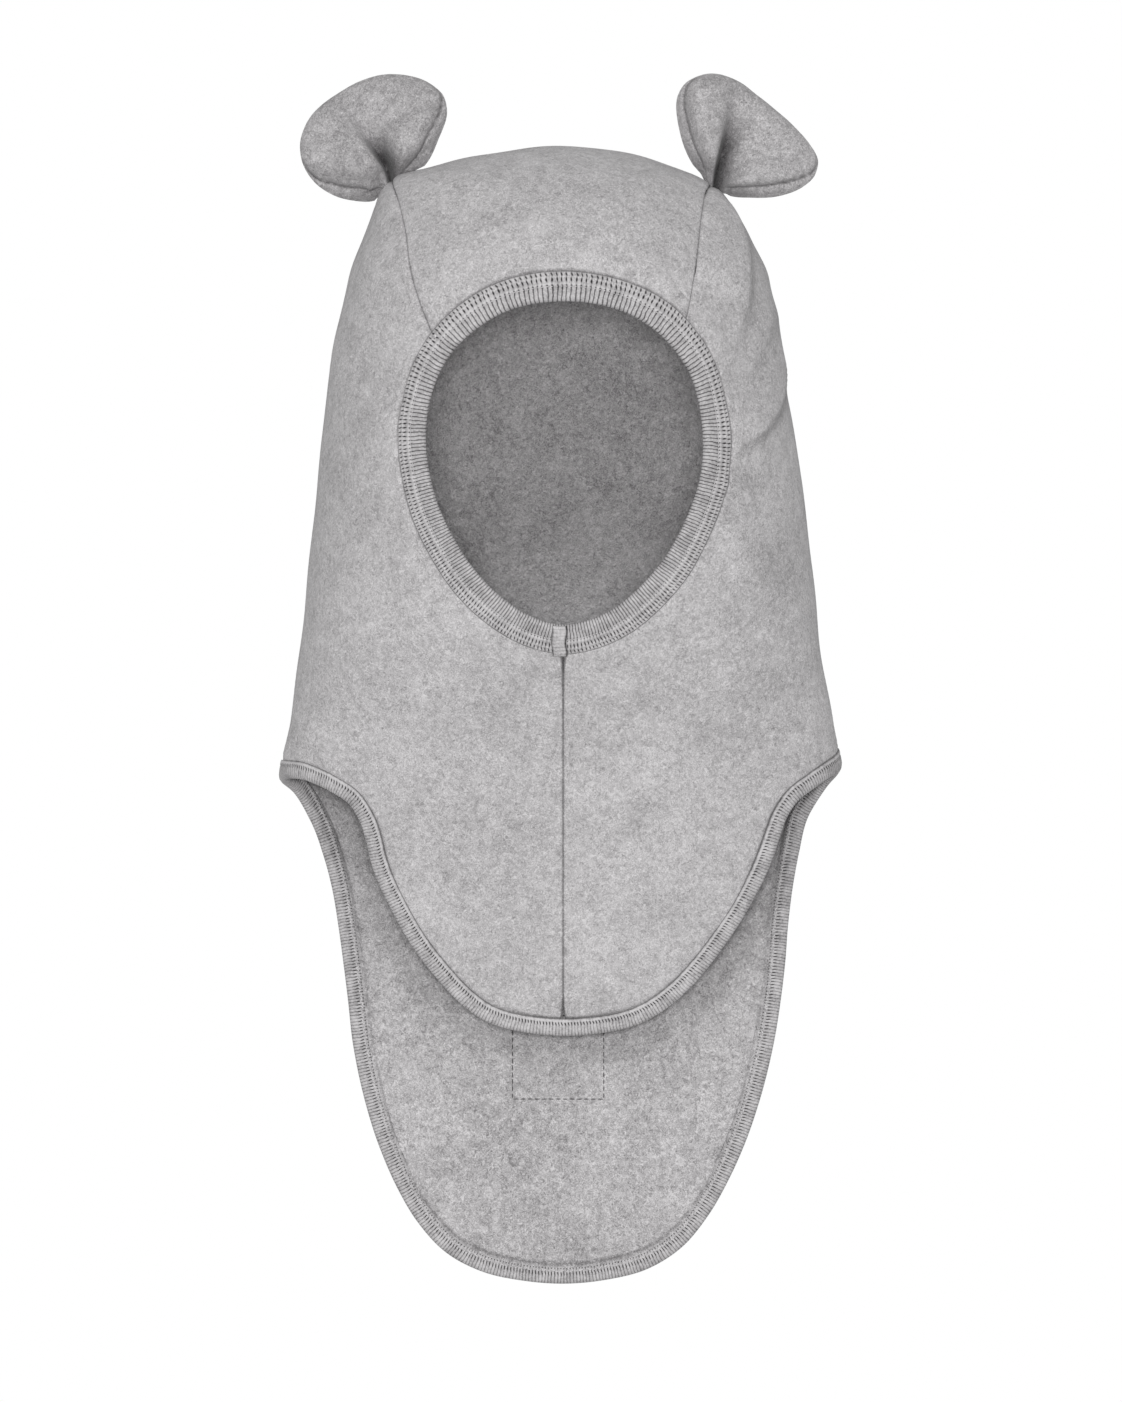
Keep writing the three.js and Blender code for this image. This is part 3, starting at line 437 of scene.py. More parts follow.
# %% The surface
def halves(x_side, y_side, depth):
    """Half widths of the section at a depth, on the sides that x and y say, and its power."""
    half_x = np.where(x_side < 0, size["left"](depth), size["right"](depth))
    half_y = np.where(y_side < 0, size["front"](depth), size["back"](depth))
    return np.maximum(half_x, 1e-6), np.maximum(half_y, 1e-6), size["power"](depth)


def beyond(p):
    """0 on the surface, negative within it and positive outside."""
    half_x, half_y, power = halves(p[..., 0], p[..., 1], fall(p[..., 2]))
    return np.abs(p[..., 0] / half_x) ** power + np.abs(p[..., 1] / half_y) ** power - 1


def slope_at(p, h=0.02):
    """The slope of that measure, which points straight out of the cloth."""
    steps = np.eye(3) * h
    return np.stack([(beyond(p + s) - beyond(p - s)) / (2 * h) for s in steps], axis=-1)


def settle(p):
    """Brings points that are near the cloth onto it."""
    for _ in range(6):
        slope = slope_at(p)
        p = p - slope * (beyond(p) / np.maximum((slope**2).sum(-1), 1e-12))[..., None]
    return p


def shoot(start, direction, reach=220.0):
    """The first points of the cloth from points inside it, in given directions."""
    near, far = np.zeros(direction.shape[:-1]), np.full(direction.shape[:-1], reach)
    for _ in range(40):
        middle = (near + far) / 2
        p = start + direction * middle[..., None]
        inside = (p[..., 2] < CROWN_TOP) & (beyond(p) < 0)
        near, far = np.where(inside, middle, near), np.where(inside, far, middle)
    return start + direction * near[..., None]


def cloth_at(x, z, face):
    """The points of the front (-1) or back (1) of the cloth that lie at x and z."""
    x, z = np.broadcast_arrays(np.asarray(x, float), np.asarray(z, float))
    half_x, half_y, power = halves(x, np.full(x.shape, float(face)), fall(z))
    share = np.maximum(1 - np.abs(x / half_x) ** power, 0)
    return np.stack([x, face * half_y * share ** (1 / power), z], axis=-1)


# %% A smooth line
def smooth_line(points, steps=24):
    """A dense line through a few points, by the centripetal Catmull-Rom rule."""
    points = np.asarray(points, float)
    p = np.vstack([2 * points[0] - points[1], points, 2 * points[-1] - points[-2]])
    apart = np.linalg.norm(np.diff(p, axis=0), axis=1) ** 0.5
    t = np.linspace(0, 1, steps, endpoint=False)[:, None]
    spans = []
    for k in range(1, len(p) - 2):
        a, b, c, d = p[k - 1 : k + 3]
        first, middle, last = apart[k - 1 : k + 2]
        leave = ((b - a) / first - (c - a) / (first + middle) + (c - b) / middle) * middle
        arrive = ((c - b) / middle - (d - b) / (middle + last) + (d - c) / last) * middle
        curve = b + leave * t + (3 * (c - b) - 2 * leave - arrive) * t**2
        spans.append(curve + (2 * (b - c) + leave + arrive) * t**3)
    return np.vstack([*spans, points[-1:]])


# %% [markdown]
# ### Folds
#
# Fleece is thick, so it falls into a few broad folds with no sharp creases. Each is a ridge, or a hollow
# where its height is negative, that runs down a line of the front view, and it may be narrower on one side,
# which makes a step where the cloth laps over. Moving points out by a bell curve round a line is quicker
# to steer than a simulation, and it keeps each fold where the hat has it. The foot of a ridge also gets a
# little painted shade, since the nap of the two sides closes over it and keeps the light out.

# %% Folds and gentle unevenness
FOLDS = table(
    "line face_wide out_wide height ends",
    ([(72.4, -56), (72.4, -71), (70.4, -84), (65.8, -92), (59.7, -97), (53, -102)], 8, 2.0, 2.2, (0, 0.4)),
    ([(47, -9), (54.7, -20.7), (59, -32.3), (60, -45.7), (58.3, -59), (54, -74)], 7, 2.0, 2.3, (0.2, 0.4)),
    ([(66, -44), (66.5, -58), (62, -72), (59, -80)], 4, 2.0, 0.9, (0.3, 0.4)),
    ([(59.5, -84), (63, -87)], 2.5, 2.5, -0.9, (0.3, 0.3)),
    ([(50, -109), (58, -113), (68, -121)], 4, 3, 0.8, (0.3, 0.4)),
    ([(55, -130), (64, -142), (70, -160)], 9, 7, 0.9, (0.4, 0.4)),
    ([(-52, -120), (-62, -134), (-70, -152)], 8, 9, -0.8, (0.4, 0.4)),
    ([(-66, -62), (-56, -92)], 9, 9, -1.2, (0.3, 0.3)),
)
FOLD_FADE = (2.0, 26.0)  # the folds fade between these depths, where the cloth turns to the back
# The painted shade at the foot of a ridge.
FOOT_SHADE = 0.1  # for each millimetre of a ridge's height
draw = np.random.default_rng(7)
WAVES = [  # directions and starts of waves that are 22 to 60 mm long
    (unit(draw.normal(size=3)) * 2 * math.pi / draw.uniform(22, 60), draw.uniform(0, 6.3))
    for _ in range(9)
]
UNEVEN = 0.16  # height of each of those waves


def eased(x):
    """0 below 0 and 1 above 1, with a soft passage."""
    t = np.clip(x, 0, 1)
    return t * t * (3 - 2 * t)


def bell(x, wide):
    """1 at 0, and less on both sides of it."""
    return np.exp(-((x / wide) ** 2))


def fold_shape(p):
    """How far the folds lift the cloth, and the painted shade at their foot."""
    at = (p[..., 0] + 1j * p[..., 2]).ravel()
    total, shade = np.zeros(at.shape), np.zeros(at.shape)
    for fold in FOLDS:
        line = smooth_line(fold["line"], 8) @ np.array([1, 1j])
        away = at[:, None] - line[None, :]
        nearest = np.abs(away).argmin(axis=1)
        offset = away[np.arange(len(at)), nearest]
        along = np.gradient(line)[nearest]
        outside = (along.real * offset.imag - along.imag * offset.real) * np.sign(at.real) > 0
        wide = np.where(outside, fold["out_wide"], fold["face_wide"])
        share = nearest / (len(line) - 1)
        ends = [eased(d / over) if over else 1 for d, over in zip((share, 1 - share), fold["ends"])]
        total += fold["height"] * ends[0] * ends[1] * bell(np.abs(offset), wide)
        foot = bell(np.abs(offset) - 1.2 * fold["out_wide"], fold["out_wide"]) * outside
        shade += FOOT_SHADE * max(fold["height"], 0) * ends[0] * ends[1] * foot
    fade = 1 - eased((p[..., 1] - FOLD_FADE[0]) / (FOLD_FADE[1] - FOLD_FADE[0]))
    return total.reshape(p.shape[:-1]) * fade, shade.reshape(p.shape[:-1]) * fade


def unevenness(p):
    """The slight waviness of a cloth that nothing stretches."""
    return UNEVEN * sum(np.sin(p @ wave + start) for wave, start in WAVES)


def raised(p, distance):
    """Points of the cloth moved out of its surface, folds included."""
    lift = fold_shape(p)[0] + unevenness(p) + distance
    return p + unit(slope_at(p)) * np.asarray(lift)[..., None]


# %% [markdown]
# ## Seams and edges
#
# The edges are laid on the surface first, as chalk lines are on a dummy. Each is a smooth line through a
# few points, cut into even pieces, and panels that meet share the same pieces, so they meet everywhere.

# %% Lines on the cloth
def evenly(line, pieces, start=0.0, end=1.0):
    """Points at even distances along a dense line, between two shares of its length."""
    run = np.concatenate([[0], np.cumsum(np.linalg.norm(np.diff(line, axis=0), axis=1))])
    wanted = np.linspace(start, end, pieces + 1) * run[-1]
    return np.stack([np.interp(wanted, run, line[:, k]) for k in range(line.shape[1])], axis=1)


def sideways(loop, distance):
    """A closed loop's points moved over the cloth, to the left of travel as seen from outside."""
    come = unit(loop - np.roll(loop, 1, axis=0))
    go = unit(np.roll(loop, -1, axis=0) - loop)
    travel = come + go
    straight = np.maximum(np.linalg.norm(travel, axis=1) / 2, 0.5)
    aside = unit(np.cross(slope_at(loop), travel))
    return settle(loop + aside * (distance / straight)[:, None])


def length_round(loop):
    return np.linalg.norm(loop - np.roll(loop, 1, axis=0), axis=1).sum()


# %% The face opening
OPENING = {"x": 0.6, "z": -96, "half_width": 46.4}
OPENING_TOP = {"height": 45.3, "power": 2.15}
OPENING_BOTTOM = {"height": 61.8, "power": 1.8}
SEAM_FOOT = {"left": 53, "right": 47}  # degrees from the top, where the crown seams meet the binding


def opening_edge(degrees):
    """Points of the folded edge of the face opening, clockwise from the top."""
    turn = np.radians(degrees)
    upper = np.cos(turn) > 0
    power = 2 / np.where(upper, OPENING_TOP["power"], OPENING_BOTTOM["power"])
    height = np.where(upper, OPENING_TOP["height"], OPENING_BOTTOM["height"])
    x = OPENING["x"] + OPENING["half_width"] * np.sign(np.sin(turn)) * np.abs(np.sin(turn)) ** power
    z = OPENING["z"] + height * np.sign(np.cos(turn)) * np.abs(np.cos(turn)) ** power
    return cloth_at(x, z, -1)


def opening_stretch(start, end, pieces):
    return evenly(opening_edge(np.linspace(start, end, 600)), pieces)


opening_fold = np.vstack(
    [
        opening_stretch(-SEAM_FOOT["left"], SEAM_FOOT["right"], ACROSS)[:-1],
        opening_stretch(SEAM_FOOT["right"], 180, OPENING_PIECES)[:-1],
        opening_stretch(180, 360 - SEAM_FOOT["left"], OPENING_PIECES)[:-1],
    ]
)
opening_fold = settle(opening_fold)
opening_edge_of_fleece = sideways(opening_fold, FACE_BINDING - TUCK)
opening_rim = sideways(opening_fold, FACE_BINDING)


def stretch_of(loop, first, pieces):
    return np.array([loop[(first + k) % len(loop)] for k in range(pieces + 1)])


crown_rim = stretch_of(opening_edge_of_fleece, 0, ACROSS)
right_rim = stretch_of(opening_edge_of_fleece, ACROSS, OPENING_PIECES)
left_rim = stretch_of(opening_edge_of_fleece, ACROSS + OPENING_PIECES, OPENING_PIECES)[::-1]
print(f"round the face: {length_round(opening_fold):.0f} mm")

# %% The hem
CORNER = {"left": (94.2, -208.6), "right": (92.8, -205)}
FRONT_HEM = table(
    "z left right",
    (-209, 87.5, 88),
    (-213, 78, 82.4),
    (-218, 70.8, 77),
    (-226, 67, 73.4),
    (-238, 63.8, 69),
    (-250, 58.4, 63),
    (-262, 52, 55.5),
    (-274, 43.2, 46.5),
    (-284, 33.8, 36.3),
    (-290.6, 23.4, 24.8),
)
FRONT_LOW = -294.3
BACK_HEM = table(
    "z left right",
    (-215.7, 87.9, 84.6),
    (-229, 82.3, 80.2),
    (-249, 76.8, 76.3),
    (-275.7, 72.8, 73.7),
    (-302, 69.4, 69.3),
    (-329, 62.2, 61.2),
    (-349, 53.2, 51.6),
    (-362.3, 43.7, 42.2),
    (-371.5, 31, 29.6),
)
BACK_LOW = -377
BIB_TURN = 0.62
SIGN = {"left": -1, "right": 1}


def hem_line(rows, lowest, face):
    """The folded edge of a bib, from the left corner under the bib to the right one."""
    left = [cloth_at(-row["left"], row["z"], face) for row in rows]
    right = [cloth_at(row["right"], row["z"], face) for row in reversed(rows)]
    ends = [cloth_at(SIGN[side] * CORNER[side][0], CORNER[side][1], -1) for side in ("left", "right")]
    return smooth_line([ends[0], *left, cloth_at(0, lowest, face), *right, ends[1]])


front_hem = hem_line(FRONT_HEM, FRONT_LOW, -1)
back_hem = hem_line(BACK_HEM, BACK_LOW, 1)
turn_share = BIB_TURN / 2
hem_fold = np.vstack(
    [
        evenly(front_hem, FRONT_HEM_PIECES, 0, 0.5)[:-1],
        evenly(front_hem, FRONT_HEM_PIECES, 0.5, 1)[:-1],
        evenly(back_hem, BIB_SIDE_PIECES, 1, 1 - turn_share)[:-1],
        evenly(back_hem, ACROSS, 1 - turn_share, turn_share)[:-1],
        evenly(back_hem, BIB_SIDE_PIECES, turn_share, 0)[:-1],
    ]
)
hem_fold = settle(hem_fold)
hem_edge_of_fleece = sideways(hem_fold, HEM_BINDING - TUCK)
hem_rim = sideways(hem_fold, HEM_BINDING)
RIGHT_CORNER = 2 * FRONT_HEM_PIECES
left_front_hem = stretch_of(hem_edge_of_fleece, 0, FRONT_HEM_PIECES)
right_front_hem = stretch_of(hem_edge_of_fleece, FRONT_HEM_PIECES, FRONT_HEM_PIECES)[::-1]
right_bib_side = stretch_of(hem_edge_of_fleece, RIGHT_CORNER, BIB_SIDE_PIECES)
bib_bottom = stretch_of(hem_edge_of_fleece, RIGHT_CORNER + BIB_SIDE_PIECES, ACROSS)[::-1]
left_bib_side = stretch_of(
    hem_edge_of_fleece, RIGHT_CORNER + BIB_SIDE_PIECES + ACROSS, BIB_SIDE_PIECES
)[::-1]
print(f"round the hem: {length_round(hem_fold):.0f} mm")

# %% [markdown]
# ### Flat charts
#
# To fill the space between four edges evenly, it helps to unroll the cloth. The crown and back unroll
# along the way over the head, and each side unrolls round the head. A panel is filled and evened out flat,
# and then laid back on the form.

# %% Charts
def crown_chart_to(p):
    """x, and the distance over the head, of points of the cloth, as complex numbers."""
    turn = np.arctan2(p[..., 2] + DOME, -p[..., 1])
    low = math.pi * LAP - DOME - p[..., 2]
    return p[..., 0] + 1j * np.where(p[..., 2] < -DOME, low, turn * LAP)


def crown_chart_from(c):
    turn = np.minimum(c.imag / LAP, math.pi)
    direction = np.stack([0 * turn, -np.cos(turn), np.sin(turn)], axis=-1)
    start = np.stack([c.real, 0 * turn, 0 * turn - DOME], axis=-1)
    low = cloth_at(c.real, math.pi * LAP - DOME - c.imag, 1)
    return np.where((c.imag > math.pi * LAP)[..., None], low, shoot(start, direction))


def side_chart_to(p):
    """The distances round a section from the side, and down from the crown."""
    half_x, half_y, power = halves(p[..., 0], p[..., 1], fall(p[..., 2]))
    across = np.abs(p[..., 0] / half_x) ** (power / 2)
    forth = np.sign(p[..., 1]) * np.abs(p[..., 1] / half_y) ** (power / 2)
    drop = CROWN_TOP - p[..., 2]
    dome = DOME * np.arccos(np.clip(1 - drop / DOME, -1, 1))
    low = DOME * (math.pi / 2 - 1) + drop
    return GIRTH * np.arctan2(forth, across) + 1j * np.where(drop < DOME, dome, low)


def side_chart_from(sign):
    def back(c):
        dome = c.imag < DOME * math.pi / 2
        drop = np.where(dome, DOME * (1 - np.cos(c.imag / DOME)), c.imag - DOME * (math.pi / 2 - 1))
        half_x, half_y, power = halves(np.full(drop.shape, sign), c.real, np.sqrt(drop))
        x = sign * half_x * np.abs(np.cos(c.real / GIRTH)) ** (2 / power)
        y = np.sign(c.real) * half_y * np.abs(np.sin(c.real / GIRTH)) ** (2 / power)
        return np.stack([x, y, CROWN_TOP - drop], axis=-1)

    return back


# %% Crown seams
FRONT_SEAM = table("z left right", (-43, 50.2, 43.6), (-26, 52.9, 45.4), (-14, 55.6, 47.4))
EAR_AT = {"left": 56.6, "right": 49.5}
BACK_SEAM = table(
    "along left right",
    (165, 54, 50),
    (210, 52.5, 51.5),
    (260, 51.5, 51.5),
    (305, 50, 50),
    (336, 50, 50),
    (354, 58.5, 58.5),
    (367, 74, 74),
)


def crown_seam(side, foot, corner):
    """A seam from the face binding to the ear, and from the ear to the corner of the hem."""
    sign = SIGN[side]
    crest = crown_chart_from(np.array([sign * EAR_AT[side] + 1j * math.pi / 2 * LAP]))[0]
    front = [cloth_at(sign * row[side], row["z"], -1) for row in FRONT_SEAM]
    back = [crown_chart_from(np.array([sign * row[side] + 1j * row["along"]]))[0] for row in BACK_SEAM]
    to_ear = settle(evenly(smooth_line([foot, *front, crest]), FRONT_SEAM_PIECES))
    to_corner = settle(evenly(smooth_line([crest, *back, corner]), BACK_SEAM_PIECES))
    return {"crest": crest, "front": to_ear, "back": to_corner}


seams = {
    "left": crown_seam("left", crown_rim[0], left_front_hem[0]),
    "right": crown_seam("right", crown_rim[-1], right_front_hem[0]),
}
print("ears sit at", {side: [round(float(v), 1) for v in seams[side]["crest"]] for side in seams})


# %% Filling a panel
def relaxed(grid, passes):
    """Evens out a flat grid between its fixed edges, so that it never folds over itself."""
    at = [list(row) for row in grid]
    for _ in range(passes):
        for j in range(1, len(at) - 1):
            for i in range(1, len(at[0]) - 1):
                across, down = at[j][i + 1] - at[j][i - 1], at[j + 1][i] - at[j - 1][i]
                alpha, gamma = abs(down) ** 2, abs(across) ** 2
                skew = (across.conjugate() * down).real / 2
                corners = at[j + 1][i + 1] + at[j - 1][i - 1] - at[j + 1][i - 1] - at[j - 1][i + 1]
                sides = alpha * (at[j][i + 1] + at[j][i - 1]) + gamma * (at[j + 1][i] + at[j - 1][i])
                at[j][i] = (sides - skew * corners) / (2 * (alpha + gamma))
    return np.array(at)


def filled(bottom, top, left, right, passes):
    """A flat grid between four edges given in a chart, meeting at their corners."""
    u = np.linspace(0, 1, len(bottom))[None, :]
    v = np.linspace(0, 1, len(left))[:, None]
    flat = bottom[None, :] * (1 - v) + top[None, :] * v + left[:, None] * (1 - u) + right[:, None] * u
    flat = flat - bottom[0] * (1 - u) * (1 - v) - bottom[-1] * u * (1 - v)
    flat = flat - top[0] * (1 - u) * v - top[-1] * u * v
    return relaxed([[complex(c) for c in row] for row in flat], passes)


def between(values, at, corners=(), closed=False):
    """Reads a list of points between its entries: smoothly, but with a bend at each corner."""
    values = np.asarray(values)
    n = len(values)
    spans = n if closed else n - 1
    i = np.clip(np.floor(at).astype(int), 0, spans - 1)
    t = (at - i).reshape(-1, *[1] * (values.ndim - 1))
    a, b, c, d = (values[(i + k) % n] for k in (-1, 0, 1, 2))
    stop = np.zeros(n, bool)
    stop[list(corners) + ([] if closed else [0, n - 1])] = True
    shape = t.shape
    a = np.where(stop[i].reshape(shape), 2 * b - c, a)
    d = np.where(stop[(i + 1) % n].reshape(shape), 2 * c - b, d)
    bend = 2 * a - 5 * b + 4 * c - d
    return b + 0.5 * ((c - a) * t + bend * t**2 + (3 * b - a - 3 * c + d) * t**3)


CLOSE = np.array([0.035, 0.08, 0.14, 0.22])  # extra lines beside an edge, as shares of a coarse piece


def stations(cells, per_cell, folded=(0, 0), per_folded=1):
    """Where the fine lines of a panel run, closer together beside its edges and where it is folded."""
    density = np.full(cells, per_cell)
    density[slice(*folded)] = per_folded
    inner = np.concatenate([k + np.arange(n) / n for k, n in enumerate(density)])
    inner = inner[(inner > 0.3) & (inner < cells - 0.3)]
    return np.concatenate([[0], CLOSE, inner, cells - CLOSE[::-1], [cells]])


def finer(grid, rows_at, columns_at, left_corners=(), right_corners=(), bottom_corners=()):
    """A coarse chart grid read at finer lines."""
    last = grid.shape[1] - 1
    corners = {0: left_corners, last: right_corners}
    tall = np.stack([between(grid[:, i], rows_at, corners.get(i, ())) for i in range(last + 1)], axis=1)
    bends = [bottom_corners if j == 0 else () for j in range(len(tall))]
    return np.stack([between(row, columns_at, bend) for row, bend in zip(tall, bends)])


# %% [markdown]
# ## Making a mesh from a grid of points
#
# Blender's grid operator gives a flat sheet of quads. Each of its corners is then moved to its place on
# the form, which is what "modelling on a surface" comes to. The sheet gets its two millimetres from a
# Solidify modifier, so the inside of the hat is as true as the outside.

# %% From points to a piece
def grid_mesh(name, place, **marks):
    """A sheet of quads whose corner in row j and column i lies at place[j, i], in millimetres.

    marks are values from 0 to 1 at those corners, which the materials read by name.
    """
    rows, columns = place.shape[:2]
    bm = bmesh.new()
    bmesh.ops.create_grid(bm, x_segments=columns - 1, y_segments=rows - 1, size=0.5, calc_uvs=True)
    mesh = bpy.data.meshes.new(name)
    bm.to_mesh(mesh)
    bm.free()
    mesh.vertices.foreach_set("co", (place.reshape(-1, 3) * MM).ravel())
    for mark, values in marks.items():
        layer = mesh.attributes.new(mark, "FLOAT", "POINT")
        layer.data.foreach_set("value", np.clip(values, 0, 1).ravel())
    return mesh


def welded(mesh, apart):
    """Joins corners that lie together, fills any holes, and counts the open edges that are left."""
    bm = bmesh.new()
    bm.from_mesh(mesh)
    bmesh.ops.remove_doubles(bm, verts=bm.verts, dist=apart * MM)
    bmesh.ops.holes_fill(bm, edges=[edge for edge in bm.edges if edge.is_boundary], sides=0)
    bmesh.ops.recalc_face_normals(bm, faces=bm.faces)
    bm.to_mesh(mesh)
    loose = sum(edge.is_boundary for edge in bm.edges)
    bm.free()
    return loose


def facing_out(mesh, outward):
    """Turns a sheet over if most of its faces look inwards. outward gives the outside of points."""
    mesh.update()
    count = len(mesh.polygons)
    centre, normal = np.empty(count * 3), np.empty(count * 3)
    mesh.polygons.foreach_get("center", centre)
    mesh.polygons.foreach_get("normal", normal)
    agree = (outward(centre.reshape(-1, 3) / MM) * normal.reshape(-1, 3)).sum()
    if agree < 0:
        mesh.flip_normals()


def piece(name, mesh, material, replaces=()):
    """Puts a mesh in the scene as a piece of the hat."""
    mesh.materials.append(material)
    mesh.shade_smooth()
    obj = bpy.data.objects.new(name, mesh)
    bpy.context.collection.objects.link(obj)
    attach(obj, "root")
    if replaces:
        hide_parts(*replaces)
    return obj


def thicken(obj, thickness, offset=-1.0, lining=None):
    """Gives a sheet its thickness, and its inside a material of its own if it has one."""
    solid = obj.modifiers.new("thickness", "SOLIDIFY")
    solid.thickness = thickness * MM
    solid.offset = offset
    if lining is not None:
        obj.data.materials.append(lining)
        solid.material_offset = 1
    return obj


# %% [markdown]
# ## The fleece panels
#
# A sewn edge isn't flat: the seam allowance is turned under and the thread draws the cloth in, so each
# panel rolls down over a millimetre or two into a thin line, which painted shade darkens. The crown panel
# lies on top of the turned allowance and stays a little higher than the side panels. Under a binding the
# fleece is squeezed, and a painted shadow darkens it along the binding's edge.

# %% Edges that roll in
# How a panel ends: in a seam that rolls in by a depth over a width and gathers a little, or under a binding
# with a painted shadow at its edge, of the share "shadow".
ENDS = {
    "crown seam": {"depth": 0.4, "width": 0.8, "gather": 0.22},
    "side seam": {"depth": 1.1, "width": 1.6, "gather": 0.22},
    "bib seam": {"depth": 0.4, "width": 0.6, "gather": 0.11},
    "binding": {"shadow": 1},
    "back binding": {"shadow": 0.5},
}
SQUEEZE = 0.9
GRIP = (0.5, 0.45)  # how far past the tucked part the squeeze reaches, and over what distance it eases
DEEPEST = 1.5  # no part of a side panel sinks further
# The seam line and the binding's shadow are painted shade: they darken the colour through the mark "shade".
SEAM_SHADE = (0.42, 0.34)  # how dark the line in a seam is, and its half width
BINDING_SHADOW = (0.5, 0.36)  # the same for the shadow at the edge of a binding


def run_along(place, axis):
    """Distances along the grid lines from their start."""
    steps = np.linalg.norm(np.diff(place, axis=axis), axis=-1)
    start = np.zeros_like(np.take(steps, [0], axis=axis))
    return np.concatenate([start, np.cumsum(steps, axis=axis)], axis=axis)


def squeezed(distance):
    """The dent of a fleece edge that a binding grips, which eases out just beyond the binding."""
    return SQUEEZE / (1 + np.exp(np.minimum((distance - TUCK - GRIP[0]) / GRIP[1], 50)))


def gathers(p, distance):
    """Small waves beside a seam, 5 to 9 mm long, where the thread is a little tighter than the cloth."""
    wave = np.sin(p[..., 0] * 0.9 + p[..., 2] * 0.8) + np.sin(p[..., 1] * 0.7 - p[..., 2] * 0.55 + 1)
    return wave * np.exp(-distance / 4) * (1 - np.exp(-distance / 0.8))


def step_between(at, start, end, soft=0.15):
    """1 between two rows of the coarse grid and 0 outside them, with soft ends."""
    return 1 / (1 + np.exp((start - at) / soft)) / (1 + np.exp((at - end) / soft))


def ended(p, *parts):
    """How far a panel sinks beside its edges, and the painted shade there, at points of the form.

    Each part is the distance of the points from an edge, a name from ENDS, and 1 where the edge ends so.
    """
    sunk = shade = np.zeros(p.shape[:-1])
    for distance, name, here in parts:
        end = ENDS[name]
        if "shadow" in end:
            sunk = sunk + here * squeezed(distance)
            line = BINDING_SHADOW[0] * bell(distance - TUCK, BINDING_SHADOW[1]) * end["shadow"]
        else:
            roll = end["depth"] * np.exp(-((distance / end["width"]) ** 1.5))
            sunk = sunk + here * (roll - end["gather"] * gathers(p, distance))
            line = SEAM_SHADE[0] * bell(distance, SEAM_SHADE[1])
        shade = shade + here * line
    return sunk, shade


def fleece_panel(name, place, sunk, shade, replaces):
    """A fleece panel on a grid of points of the form, sunk and given painted shade by amounts at each point.
    """
    outside = raised(place, -sunk)
    mesh = grid_mesh(name, outside, shade=shade + fold_shape(place)[1])
    facing_out(mesh, slope_at)
    return thicken(piece(name, mesh, fleece, [replaces]), FLEECE, lining=painted_shade_lining)


# %% Crown and back panel
crown_left = np.vstack([seams["left"]["front"], seams["left"]["back"][1:], left_bib_side[1:]])
crown_right = np.vstack([seams["right"]["front"], seams["right"]["back"][1:], right_bib_side[1:]])
crown_edges = [crown_chart_to(edge) for edge in (crown_rim, bib_bottom, crown_left, crown_right)]
crown_coarse = filled(*crown_edges, passes=12)
ear_row = FRONT_SEAM_PIECES
corner_row = FRONT_SEAM_PIECES + BACK_SEAM_PIECES
crown_rows = stations(len(crown_left) - 1, 7)
crown_columns = stations(ACROSS, 8)
crown_fine = finer(crown_coarse, crown_rows, crown_columns, (ear_row, corner_row), (ear_row, corner_row))
crown_place = crown_chart_from(crown_fine)
from_left, from_face = run_along(crown_place, 1), run_along(crown_place, 0)
from_right, from_hem = from_left[:, -1:] - from_left, from_face[-1:] - from_face
on_seam = step_between(crown_rows, -5, corner_row - 0.3)[:, None]
crown_sunk, crown_shade = ended(
    crown_place,
    (from_face, "binding", 1),
    (from_hem, "back binding", 1),
    (from_left, "crown seam", on_seam),
    (from_left, "back binding", 1 - on_seam),
    (from_right, "crown seam", on_seam),
    (from_right, "back binding", 1 - on_seam),
)
crown = fleece_panel("crown_and_back", crown_place, crown_sunk, crown_shade, "crown_back_panel")
print("crown and back:", len(crown.data.polygons), "faces before thickness")


# %% Side panels
FOLDED_ROWS, FOLDED_COLUMNS = (0, 13), (8, 12)  # the coarse cells of a side panel that the folds cross


